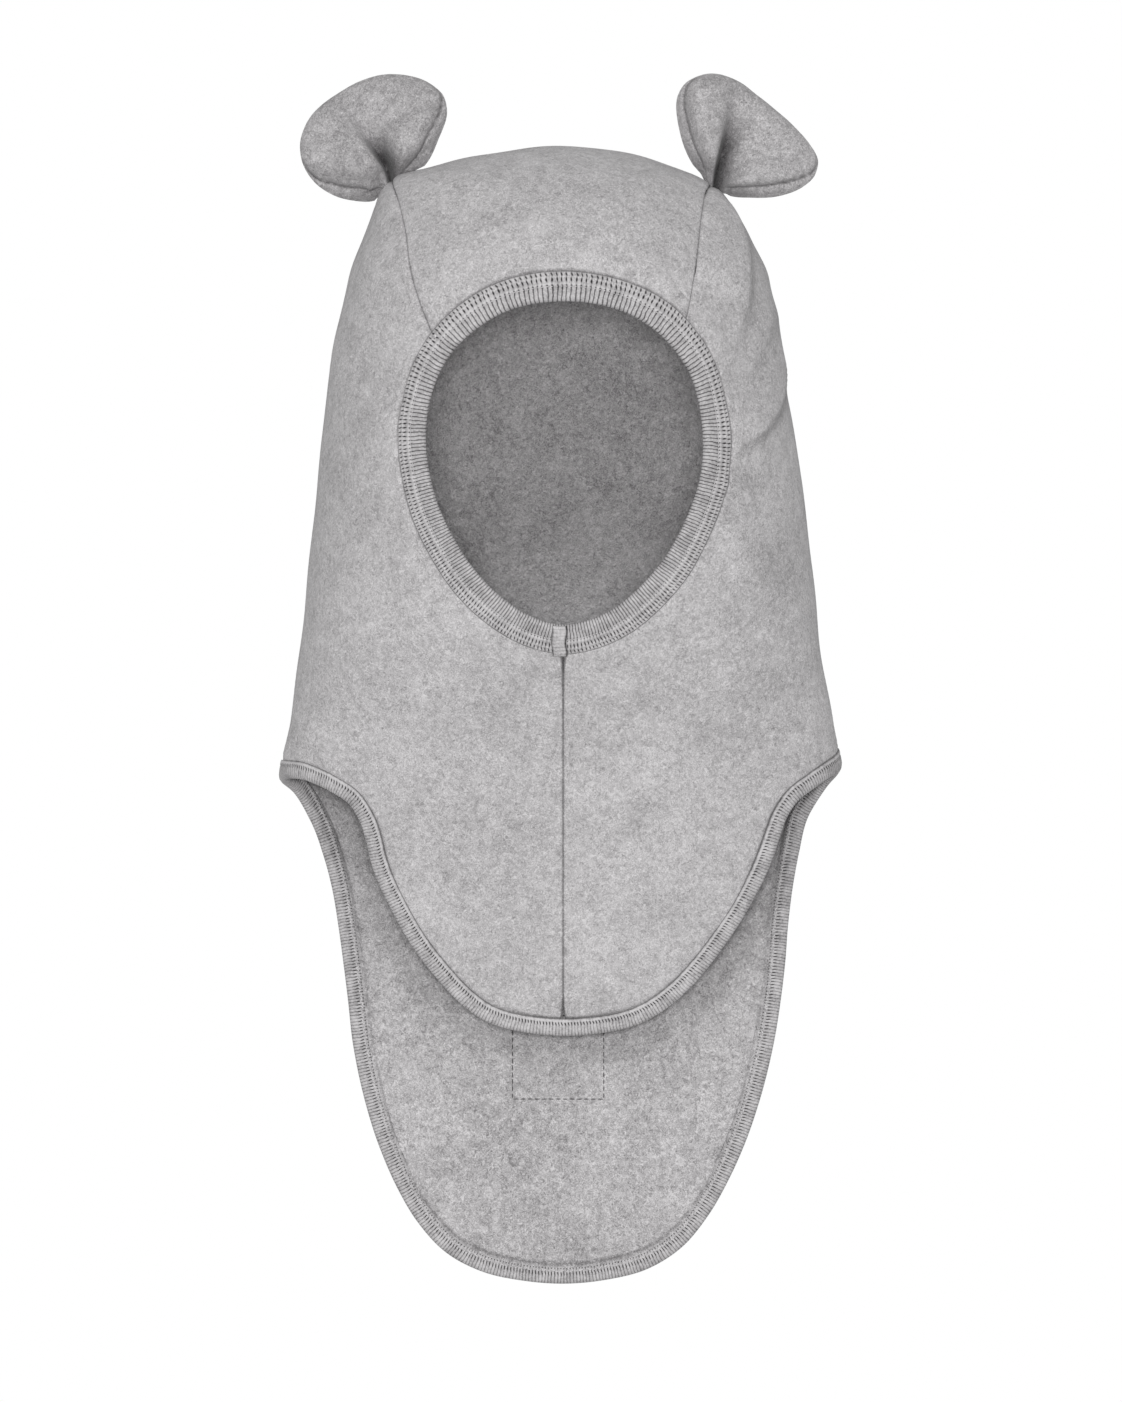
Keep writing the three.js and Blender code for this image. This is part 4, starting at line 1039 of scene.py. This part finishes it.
def side_panel(side):
    """A side panel. Its grid starts across the crown seam at the ear and ends at the front hem."""
    seam = seams[side]
    rim = left_rim if side == "left" else right_rim
    hem = left_front_hem if side == "left" else right_front_hem
    front = seam["front"][::-1]
    ear_to_back = ACROSS - EAR_TO_FACE
    hem_aside = len(hem) - 1 - ACROSS
    rows = len(seam["back"]) - 1 - ear_to_back + hem_aside
    bib_pieces = rows - (len(front) - 1 - EAR_TO_FACE) - (len(rim) - 1)
    heights = np.linspace(rim[-1][2], hem[-1][2], bib_pieces + 1)
    bib_seam = cloth_at(0, heights, -1)
    bib_seam[0], bib_seam[-1] = rim[-1], hem[-1]
    top = np.vstack([seam["back"][: ear_to_back + 1][::-1], front[1 : EAR_TO_FACE + 1]])
    outer = np.vstack([seam["back"][ear_to_back:], hem[1 : hem_aside + 1]])
    inner = np.vstack([front[EAR_TO_FACE:], rim[1:], bib_seam[1:]])
    edges = [side_chart_to(edge) for edge in (top, hem[hem_aside:], outer, inner)]
    coarse = filled(*edges, passes=60)
    corner = len(seam["back"]) - 1 - ear_to_back
    foot = len(front) - 1 - EAR_TO_FACE
    chin = foot + len(rim) - 1
    rows_at = stations(rows, 6, FOLDED_ROWS, 12)
    columns_at = stations(ACROSS, 6, FOLDED_COLUMNS, 22)
    fine = finer(coarse, rows_at, columns_at, (corner,), (foot, chin), (ear_to_back,))
    place = side_chart_from(SIGN[side])(fine)
    from_outer, from_top = run_along(place, 1), run_along(place, 0)
    from_inner, from_hem = from_outer[:, -1:] - from_outer, from_top[-1:] - from_top
    back_part = step_between(rows_at, -5, corner)[:, None]
    front_part = step_between(rows_at, -5, foot)[:, None]
    bib_part = step_between(rows_at, chin, rows + 5)[:, None]
    sunk, shade = ended(
        place,
        (from_top, "side seam", 1),
        (from_hem, "binding", 1),
        (from_outer, "side seam", back_part),
        (from_outer, "binding", 1 - back_part),
        (from_inner, "side seam", front_part),
        (from_inner, "bib seam", bib_part),
        (from_inner, "binding", 1 - front_part - bib_part),
    )
    return fleece_panel(f"side_{side}", place, np.minimum(sunk, DEEPEST), shade, f"side_panel_{side}")


sides = {side: side_panel(side) for side in ("left", "right")}
print("side panels:", [len(obj.data.polygons) for obj in sides.values()], "faces before thickness")

# %% [markdown]
# ## The rib bindings
#
# A binding is one strip of 1x1 rib, folded over the raw edge of the fleece and sewn through. Its ribs run
# across the strip. Round the face it is stretched most over the forehead, so the ribs are further apart
# there than at the chin. It is made as a grid that goes from the free edge outside, round the fold, to the
# free edge inside, and back on its hidden side, so it is a closed strip of true thickness. Rows of stitches
# press a shallow channel into it.

# %% A binding strip
SINK = 0.4  # how far a binding presses into the fleece
GROOVE = 0.3  # depth of the grooves between ribs; it is half that past the first row of stitches
CHANNEL = (0.18, 0.5)  # depth and half width of the channel that a row of stitches presses
WORN_EDGE = 0.35  # how much the free edge rolls down, over the same distance
BEND_POINTS = 7


def strip_lines(fold, rim, corners, pitches, spacing):
    """Lines across a binding: points of its fold and rim, and the count of ribs at each line."""
    n = len(fold)
    dense = np.linspace(0, n, n * 24 + 1)
    middle = (between(fold, dense, corners, True) + between(rim, dense, corners, True)) / 2
    steps = np.linalg.norm(np.diff(middle, axis=0), axis=1)
    pitch = np.interp((middle[1:] + middle[:-1])[:, 2] / 2, *zip(*pitches))
    ribs = np.concatenate([[0], np.cumsum(steps / pitch)])
    ribs *= round(ribs[-1]) / ribs[-1]
    count = np.linspace(0, ribs[-1], round(ribs[-1] * spacing) + 1)
    at = np.interp(count, ribs, dense)
    return settle(between(fold, at, corners, True)), settle(between(rim, at, corners, True)), count


def binding(name, fold, rim, corners, knit, inner_share, rows, steps, material, replaces):
    """A strip of rib folded over an edge. knit is its width, rib pitches by height, and lines to a rib."""
    width, pitches, spacing = knit
    fold_line, rim_line, count = strip_lines(fold, rim, corners, pitches, spacing)
    half = FLEECE / 2
    straight = 1 - (half + RIB) / width
    bend = np.linspace(math.pi / 2, -math.pi / 2, BEND_POINTS)
    outer, inner = np.linspace(0, straight, steps[0]), np.linspace(straight, 1 - inner_share, steps[1])
    out = np.concatenate([np.ones(len(outer) - 1), np.sin(bend), -np.ones(len(inner) - 1)])
    round_fold = np.concatenate([0 * outer[1:], np.cos(bend), 0 * inner[1:]])
    along = np.concatenate([outer[:-1], np.full(BEND_POINTS, straight), inner[1:]])
    share = along + round_fold * (half + RIB) / width
    from_fold = (1 - share) * width * np.where(out > 0, 1, -1)
    ribbed = np.maximum(np.cos(2 * math.pi * count), 0)[:, None] ** 2 if spacing > 2 else 0
    relief = -GROOVE * ribbed * np.where(from_fold < rows[0]["at"], 1, 0.5)[None, :]
    for row in rows:
        relief = relief - CHANNEL[0] * bell(from_fold[None, :] - row["at"], CHANNEL[1])
    relief = relief - WORN_EDGE * np.exp(-share[None, :] * width / WORN_EDGE)
    over = half + RIB + relief * np.ones((len(count), 1))
    under = [0, len(outer) - 1, len(outer) + 2, len(outer) + 5, len(share) - 1][::-1]
    share_in = (along + round_fold * half / width)[under]
    height = np.hstack([out * over, np.tile(out[under] * half, (len(count), 1)), out[0] * over[:, :1]])
    share = np.concatenate([share, share_in, share[:1]])
    from_fold = np.concatenate([from_fold, from_fold[under], from_fold[:1]])
    points = rim_line[:, None] + (fold_line - rim_line)[:, None] * share[None, :, None]
    place = raised(settle(points), height - half - SINK)
    mesh = grid_mesh(name, place)
    write_knit(mesh, from_fold, count)
    loose = welded(mesh, 0.005)
    obj = piece(name, mesh, material, [replaces])
    print(f"{name}: {count[-1]:.0f} ribs, {len(mesh.polygons)} faces, {loose} open edges")
    return obj, fold_line, rim_line


def write_knit(mesh, from_fold, count):
    """Writes where each corner lies in the knit: millimetres from the fold, and ribs along the strip."""
    corner = np.empty(len(mesh.loops), int)
    mesh.loops.foreach_get("vertex_index", corner)
    columns = len(from_fold)
    places = np.stack([from_fold[corner % columns], count[corner // columns]], axis=1)
    mesh.uv_layers.new(name="knit").uv.foreach_set("vector", places.ravel())


# %% Face and hem bindings
# The distance between ribs at some heights: they get wider towards the forehead. They are a little coarser
# than the real ones, which are 0.9 mm apart at the chin and 0.7 to 1 mm along the hem.
FACE_PITCH = [(-160, 1.1), (-125, 1.1), (-96, 1.3), (-48, 1.6)]
HEM_PITCH = [(-400, 1.05), (0, 1.05)]


face_binding, face_fold, face_rim = binding(
    "face_rib",
    opening_fold,
    opening_rim,
    (),
    (FACE_BINDING, FACE_PITCH, 5),
    0.9,
    FACE_ROWS,
    (28, 12),
    face_knit,
    "face_binding",
)
hem_binding, hem_fold_line, hem_rim_line = binding(
    "hem_rib",
    hem_fold,
    hem_rim,
    (0, RIGHT_CORNER),
    (HEM_BINDING, HEM_PITCH, 2),
    0.88,
    HEM_ROWS,
    (16, 8),
    hem_knit,
    "hem_binding",
)

# %% [markdown]
# ## Stitches
#
# A stitch shows as a short, plump bit of thread between two needle holes. Thousands of them need a shape
# with only a few faces, so each is a small sphere with six sides, drawn out along its stitch and half sunk
# in the cloth. The needle rows run over the ribs, and on the inside a looper thread zigzags over the raw
# edge of the strip.

# %% Sewing
def many_beads(count):
    """A bmesh of so many small balls, made by doubling one again and again."""
    bm = bmesh.new()
    bmesh.ops.create_uvsphere(bm, u_segments=6, v_segments=4, radius=1)
    points, faces, made = len(bm.verts), len(bm.faces), 1
    while made < count:
        more = min(made, count - made)
        bm.faces.ensure_lookup_table()
        bmesh.ops.duplicate(bm, geom=bm.faces[: more * faces])
        made += more
    return bm, points


def sew(name, starts, ends, outward, radius, material):
    """One mesh of stitches, from arrays of start and end points and the way out of the cloth."""
    bm, points = many_beads(len(starts))
    mesh = bpy.data.meshes.new(name)
    bm.to_mesh(mesh)
    bm.free()
    ball = np.empty(len(mesh.vertices) * 3)
    mesh.vertices.foreach_get("co", ball)
    ball = ball.reshape(len(starts), points, 3)
    along = ends - starts
    side = unit(np.cross(along, outward))
    top = unit(np.cross(side, along))
    axes = np.stack([side * radius, top * radius * 0.8, along / 2], axis=1)
    place = np.einsum("npk,nkc->npc", ball, axes) + (starts + ends)[:, None] / 2
    mesh.vertices.foreach_set("co", (place * MM).ravel())
    mesh.update()
    print(f"{name}: {len(starts)} stitches, {len(mesh.polygons)} faces")
    return piece(name, mesh, material)


def row_on(fold_line, rim_line, width, distance, height, step):
    """Points of a stitch row on a binding, at a distance from the fold."""
    points = fold_line + (rim_line - fold_line) * (distance / width)
    return raised(settle(points[::step]), height)


def needle_row(name, lines, width, distance, step, height, radius):
    """Stitches that lie over the ribs of a binding, from hole to hole."""
    points = row_on(*lines, width, distance, height, step)
    starts, ends = points[:-1], points[1:]
    short = (ends - starts) * 0.24
    return sew(name, starts + short, ends - short, slope_at(starts), radius, thread)


def cross_row(name, lines, width, near, far, step, height, radius):
    """Stitches that lie across the strip, between two rows of holes."""
    starts = row_on(*lines, width, near, height, step)
    ends = row_on(*lines, width, far, height, step)
    return sew(name, starts, ends, slope_at(starts), radius, thread)


def looper_row(name, lines, width, near, far, step, height, radius):
    """A zigzag between two distances from the fold, on the inside."""
    low = row_on(*lines, width, near, height, step)
    high = row_on(*lines, width, far, height, step)
    n = min(len(low), len(high)) - 1
    starts = np.stack([low[:n], high[:n]], axis=1).reshape(-1, 3)
    ends = np.stack([high[:n], low[1 : n + 1]], axis=1).reshape(-1, 3)
    return sew(name, starts, ends, -slope_at(starts), radius, thread)


THREAD, LOOPER_THREAD, THICK_THREAD = 0.2, 0.24, 0.3  # radius of a stitch as it shows
face_lines, hem_lines = (face_fold, face_rim), (hem_fold_line, hem_rim_line)
OVER, INSIDE = RIB - SINK - 0.12, -FLEECE - RIB - SINK + 0.05  # the two faces of a binding
face_sewing = [
    needle_row("face_stitches_inner", face_lines, FACE_BINDING, 4.8, 5, OVER, THREAD),
    cross_row("face_stitches_outer", face_lines, FACE_BINDING, 7.2, 8.6, 5, OVER, THICK_THREAD),
]
hem_sewing = [needle_row("hem_stitches", hem_lines, HEM_BINDING, 4.9, 3, OVER - 0.05, THREAD)]
face_sewing.append(looper_row("face_looper", face_lines, FACE_BINDING, 4.6, 7.6, 5, INSIDE, THREAD))
hem_sewing.append(looper_row("hem_looper", hem_lines, HEM_BINDING, 3.8, 4.9, 3, INSIDE, LOOPER_THREAD))

# %% [markdown]
# ### The stitched square and the join below the chin
#
# On the inside of the back bib a small square is outlined by one row of stitches. The thread sinks into
# the nap, whose pits lie in shade, so it is drawn dark, as painted shade: a fine dark dashed line, which
# shows on the outside of the bib too. Below the chin the two ends of the face binding are joined by a
# short seam under a flat tab of the same rib.

# %% Stitched square
SQUARE = {"left": -16.9, "right": 13.6, "top": -288.0, "bottom": -315.6, "stitch": 2.3, "share": 0.78}


def dashes(corners, stitch, share):
    """Starts and ends of the stitches along a chain of straight lines in the front view."""
    starts, ends = [], []
    for a, b in zip(corners[:-1], corners[1:]):
        a, b = np.array(a, float), np.array(b, float)
        n = max(round(np.linalg.norm(b - a) / stitch), 1)
        for k in range(n):
            starts.append(a + (b - a) * (k + (1 - share) / 2) / n)
            ends.append(a + (b - a) * (k + (1 + share) / 2) / n)
    return np.array(starts), np.array(ends)


square = [
    (SQUARE["left"], SQUARE["top"]),
    (SQUARE["left"], SQUARE["bottom"]),
    (SQUARE["right"], SQUARE["bottom"]),
    (SQUARE["right"], SQUARE["top"]),
    (SQUARE["left"], SQUARE["top"]),
]
dash_starts, dash_ends = dashes(square, SQUARE["stitch"], SQUARE["share"])
inside, outside = -FLEECE - 0.02, 0.02
for name, height, way in (("square_stitches_inside", inside, -1), ("square_stitches_outside", outside, 1)):
    starts, ends = (raised(cloth_at(*p.T, 1), height) for p in (dash_starts, dash_ends))
    sew(name, starts, ends, way * slope_at(starts), THREAD, painted_shade_thread)

# %% The tab of the join
JOIN = {"width": 5.0, "x": -1.2, "top": -0.3, "bottom": 10.1, "lift": RIB + 0.55, "thick": 0.9}
JOIN_SWAY, JOIN_ROLL, JOIN_CORD = 0.25, 0.35, 1.25  # its sideways wave, the roll of its rim, its rib pitch


def join_tab():
    """A flat tab over the binding, folded round its edge at the top, with a rolled rim."""
    low = OPENING["z"] - OPENING_BOTTOM["height"]
    u, v = np.meshgrid(np.linspace(-1, 1, 26), np.linspace(0, 1, 44))
    x = JOIN["x"] + u * JOIN["width"] / 2 + JOIN_SWAY * np.sin(v * 9)
    z = low - (JOIN["top"] + v * (JOIN["bottom"] - JOIN["top"]))
    edge = np.minimum((1 - np.abs(u)) * JOIN["width"] / 2, v * 6 + 0.15)
    edge = np.minimum(edge, (1 - v) * JOIN["bottom"])
    roll = np.exp(-edge / JOIN_ROLL)
    cords = np.cos(2 * math.pi * u * JOIN["width"] / 2 / JOIN_CORD)
    lift = JOIN["lift"] - 0.75 * roll + 0.1 * cords * (1 - roll) - 0.5 * np.maximum(v - 0.86, 0) / 0.14
    place = raised(settle(cloth_at(x, z, -1)), lift)
    mesh = grid_mesh("face_binding_tab", place)
    write_knit(mesh, u[0] * JOIN["width"] / 2, 0.5 + v[:, 0] * 9)
    facing_out(mesh, slope_at)
    obj = piece("face_binding_tab", mesh, plain_knit, ["face_binding_join"])
    return thicken(obj, JOIN["thick"])


tab = join_tab()

# %% [markdown]
# ## The ears
#
# Each ear is two rounds of fleece sewn together, turned, lightly filled and pinched double at its root,
# where the crown seam catches it. The pinch throws up two plump lobes with a deep valley between them. It
# is made as a fan: rays go out from the root, and every point is pushed forwards or back from the middle
# of the ear only, so that the outline stays as it was cut however steep the valley gets. How plump the ear
# is at a point, and where its seam runs, both follow from how far the point is from that outline.

# %% Ear tables
EARS = {
    "left": table(
        "angle reach near far inset",
        (-64, 11.5, 0, 0, 4.2),
        (-48, 20, 2, 2, 3.9),
        (-38, 29.2, 5, 4, 2.6),
        (-28, 33.6, 6, 3, 0.5),
        (-12, 35.4, 6, 1, 0),
        (4, 35.7, 5, 0, 0),
        (18, 35.2, 4, -1, 0),
        (33, 34.6, 6, 0, 0),
        (50, 34.9, 8, 3, 0),
        (64, 34, 8, 5, 0),
        (76, 31.6, 8, 6, 0.2),
        (90, 26.7, 6, 5, 1.4),
        (102, 21.2, 5, 4, 3.6),
        (118, 14.2, 2, 2, 4.4),
        (136, 9, -1, -1, 3.8),
    ),
    "right": table(
        "angle reach near far inset",
        (-42, 9, 0, 0, 3.2),
        (-31, 20.5, 3, 2, 3.4),
        (-21, 31.8, 6, 3, 2.4),
        (-12, 35.8, 8, 4, 0.8),
        (0, 37.3, 9, 3, 0),
        (14, 36, 8, 1, 0),
        (28, 33.7, 8, 0, 0),
        (40, 33.1, 6, 0, 0),
        (54, 33.8, 3, 1, 0),
        (67, 35.4, 4, 3, 0),
        (76, 36.4, 6, 5, 0.2),
        (84, 34.7, 7, 6, 1.4),
        (91, 30.4, 7, 6, 3.2),
        (100, 21.8, 5, 5, 4.2),
        (108, 13.2, 3, 3, 3.6),
        (119, 7, 0, 0, 3),
    ),
}
# The valley lies beside the lobe that laps over it: it is deepest at that lobe's edge, whose angle turns
# from root to rim, and rises gently away from it, to the left (-1) or right (1) of the fan. It reaches its
# full depth at the distance "peak", and painted shade darkens it as far out as "dark".
VALLEY = {
    "left": {"root": 36, "rim": 34, "way": -1, "wide": 30, "depth": 9.5, "peak": 8.5, "dark": 20},
    "right": {"root": 13, "rim": 13, "way": 1, "wide": 30, "depth": 11, "peak": 10.5, "dark": 25},
}
EAR_NEAR = 10.0  # how far out the lobes are highest
EAR_PAD = {"front": 4.4, "back": 3.6, "round": 8.0}
EAR_START = 1.6
EAR_STEM = {"from": 6.0, "drop": 8.0, "sink": 0.8}
EAR_SEAM = {"deep": 0.65, "wide": 0.34, "rise": 0.4, "tail": 0.6}
EAR_DARKER = 0.13  # the ears are drawn a little darker all over


# %% The form of an ear
def beyond_lap(side, angle, distance):
    """How many degrees past the edge of the lobe that laps a point of an ear is, on the valley's side."""
    valley = VALLEY[side]
    share = distance / valley["peak"]
    lap = valley["rim"] + (valley["root"] - valley["rim"]) * np.clip(1.6 - 0.6 * share, 0, 1)
    return (angle - lap) * valley["way"]


def valley_at(side, angle, distance):
    """How deep in its valley a point of an ear is, from 0 to 1."""
    valley = VALLEY[side]
    share = distance / valley["peak"]
    into = beyond_lap(side, angle, distance)
    step = 1 / (1 + np.exp(-into / 1.3))
    return step * bell(np.maximum(into, 0), valley["wide"]) * (share * np.exp(1 - share)) ** 1.5


def wedge_shade_at(side, angle, distance):
    """The painted shade in the wedge between the lobes, from 0 to 1: darkest beside the lobe that laps."""
    into = beyond_lap(side, angle, distance)
    away = np.radians(np.abs(into)) * distance
    beside = np.exp(-((away / np.where(into > 0, 4.5, 0.35)) ** 1.8))
    return 0.9 * beside * eased((VALLEY[side]["dark"] - distance) / 13) * eased(distance / 2)


def ear_form(side):
    """The middle of an ear as a function of angle and distance, its reach and the inset of its seam."""
    rows = EARS[side]
    angles = [row["angle"] for row in rows]
    reach, near, far, inset = (column(rows, angles, name) for name in ("reach", "near", "far", "inset"))
    valley = VALLEY[side]

    def middle(angle, distance):
        turn = np.radians(angle)
        rise = eased(distance / EAR_NEAR)
        out = np.clip((distance - EAR_NEAR) / np.maximum(reach(angle) - EAR_NEAR, 1), 0, 1)
        forward = near(angle) * rise + (far(angle) - near(angle)) * out
        forward = forward - valley_at(side, angle, distance) * valley["depth"]
        stem = EAR_STEM["drop"] * np.clip(1 - distance / EAR_STEM["from"], 0, 1) ** 2
        x = SIGN[side] * distance * np.sin(turn)
        return np.stack([x, -forward, distance * np.cos(turn) - stem], axis=-1)

    return middle, reach, inset, (angles[0], angles[-1])


# %% Places on an ear
def closer_at_ends(count, share):
    """Places from 0 to 1 that lie closer together near both ends."""
    t = np.linspace(0, 1, count)
    return (1 - share) * t + share * (0.5 - 0.5 * np.cos(math.pi * t))


def from_outline(form, angle, distance):
    """How far points of an ear are from its outline as seen from the front, and the seam's inset there."""
    _, reach, inset, (first, last) = form
    fan = np.linspace(first, last, 300)
    sides = np.linspace(0, 1, 60)[1:]
    rim_angle = np.concatenate([np.full(59, first), fan, np.full(59, last)])
    rim_distance = np.concatenate([sides * reach(first), reach(fan), sides[::-1] * reach(last)])
    rim = rim_distance * np.exp(1j * np.radians(rim_angle))
    points = (distance * np.exp(1j * np.radians(angle))).ravel()
    away = np.abs(points[:, None] - rim[None, :])
    nearest = away.argmin(axis=1)
    shape = np.broadcast(angle, distance).shape
    drawn_in = inset(rim_angle) * rim_distance / reach(rim_angle)
    return away.min(axis=1).reshape(shape), drawn_in[nearest].reshape(shape)


# %% Pleats and ripples of an ear
PLEATS = {"height": 0.3, "turns": 13, "fade": 9.0}  # at the pinched root
RIPPLES = {"height": 0.13, "turns": 47, "place": 1.2, "wide": 1.3}  # just inside the seam


def pleats_at(angle, distance):
    return PLEATS["height"] * np.cos(np.radians(angle) * PLEATS["turns"]) * np.exp(-distance / PLEATS["fade"])


def ripples_at(angle, past_seam):
    wave = RIPPLES["height"] * np.sin(np.radians(angle) * RIPPLES["turns"])
    return wave * bell(past_seam - RIPPLES["place"], RIPPLES["wide"])


# %% The two ears
# The seam line of an ear and the wedge of its valley are darkened by painted shade.
EAR_SEAM_SHADE = (0.45, 0.3)  # how dark the line in the ear's seam is, and its half width


def ear(side, rays=120, rings=80):
    """One padded ear: a sheet that goes over its front from side to side and back behind it."""
    form = ear_form(side)
    middle, reach, _, (first, last) = form
    across = closer_at_ends(rays, 0.75)
    angle = (first + (last - first) * across)[None, :]
    length = reach(angle)
    share = np.sin(np.linspace(0, math.pi / 2, rings))[:, None]
    distance = EAR_START + (length - EAR_START) * share
    angle = np.broadcast_to(angle, distance.shape)
    edge, inset = from_outline(form, angle, distance)
    edge = edge * (share < 1) * (np.abs(across - 0.5) < 0.5)[None, :]
    gather = np.clip(distance / 11, 0, 1) ** 0.7

    def plump(depth, reach_in):
        t = np.clip(depth / reach_in, 0, 1)
        return np.sqrt(1 - (1 - t) ** 2)

    beside = np.clip(inset / 1.2, 0, 1) * eased((distance - 3.5) / 4)
    seam_level = EAR_SEAM["rise"] * inset
    face = seam_level + EAR_PAD["front"] * gather * plump(edge - inset, EAR_PAD["round"])
    tail = np.clip(edge / np.maximum(inset, 0.01), 0, 1)
    turned = seam_level * np.sqrt(tail) + EAR_SEAM["tail"] * np.sin(math.pi * tail) * beside
    front = np.where(edge > inset, face, turned)
    front = front - EAR_SEAM["deep"] * beside * bell(edge - inset, EAR_SEAM["wide"])
    pleats = pleats_at(angle, distance) * np.clip(edge, 0, 1)
    ripples = ripples_at(angle, edge - inset) * np.clip(edge, 0, 1)
    front = np.maximum(front + pleats + ripples, 0)
    back = EAR_PAD["back"] * gather * plump(edge, EAR_PAD["round"]) + pleats
    back = np.maximum(back, 0)
    base = middle(angle, distance) + seams[side]["crest"] - np.array([0, 0, EAR_STEM["sink"]])
    forwards = np.array([0, -1, 0])
    wave = unevenness(base * 1.7)[..., None] * np.clip(edge / 4, 0, 1)[..., None] * forwards
    place = np.concatenate(
        [base + forwards * front[..., None] + wave, (base - forwards * back[..., None] + wave)[:, -2::-1]],
        axis=1,
    )
    # Painted shade on the front: the line in the seam and the wedge of the valley.
    line = EAR_SEAM_SHADE[0] * beside * bell(edge - inset, EAR_SEAM_SHADE[1])
    shade = np.maximum(line, wedge_shade_at(side, angle, distance)) + EAR_DARKER
    shade = np.concatenate([shade, (0 * line + EAR_DARKER)[:, -2::-1]], axis=1)
    mesh = grid_mesh(f"ear_{side}", place, shade=shade)
    loose = welded(mesh, 0.01)
    obj = piece(f"ear_{side}", mesh, fleece, [f"ear_{side}_front", f"ear_{side}_back"])
    print(f"ear_{side}: {len(mesh.polygons)} faces, {loose} open edges")
    return obj


ears = {side: ear(side) for side in ("left", "right")}

# %% [markdown]
# ## What is soft
#
# Each fleece panel is a sheet that was cut flat, and the ears are padded.

# %% [markdown]
# ## The floor
#
# A plain pale disc, well below the hat, catches its soft shadow in the views from above.

# %% Floor
FLOOR_DROP, FLOOR_RADIUS = 0.08, 0.62
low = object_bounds()[0].z - FLOOR_DROP
bm = bmesh.new()
bmesh.ops.create_circle(bm, cap_ends=True, radius=FLOOR_RADIUS, segments=96)
bmesh.ops.translate(bm, vec=(0, 0, low), verts=bm.verts)
floor_mesh = bpy.data.meshes.new("floor")
bm.to_mesh(floor_mesh)
bm.free()
floor_paint, floor_output = new_material("matt white board")
board = add(floor_paint, "ShaderNodeBsdfDiffuse", Color=(0.9, 0.9, 0.9, 1))
floor_paint.node_tree.links.new(board.outputs[0], floor_output.inputs["Surface"])
floor_mesh.materials.append(floor_paint)
floor = bpy.data.objects.new("floor", floor_mesh)
bpy.context.collection.objects.link(floor)
print(f"floor at {low:.3f} m")

# %% Finish
print("finished")
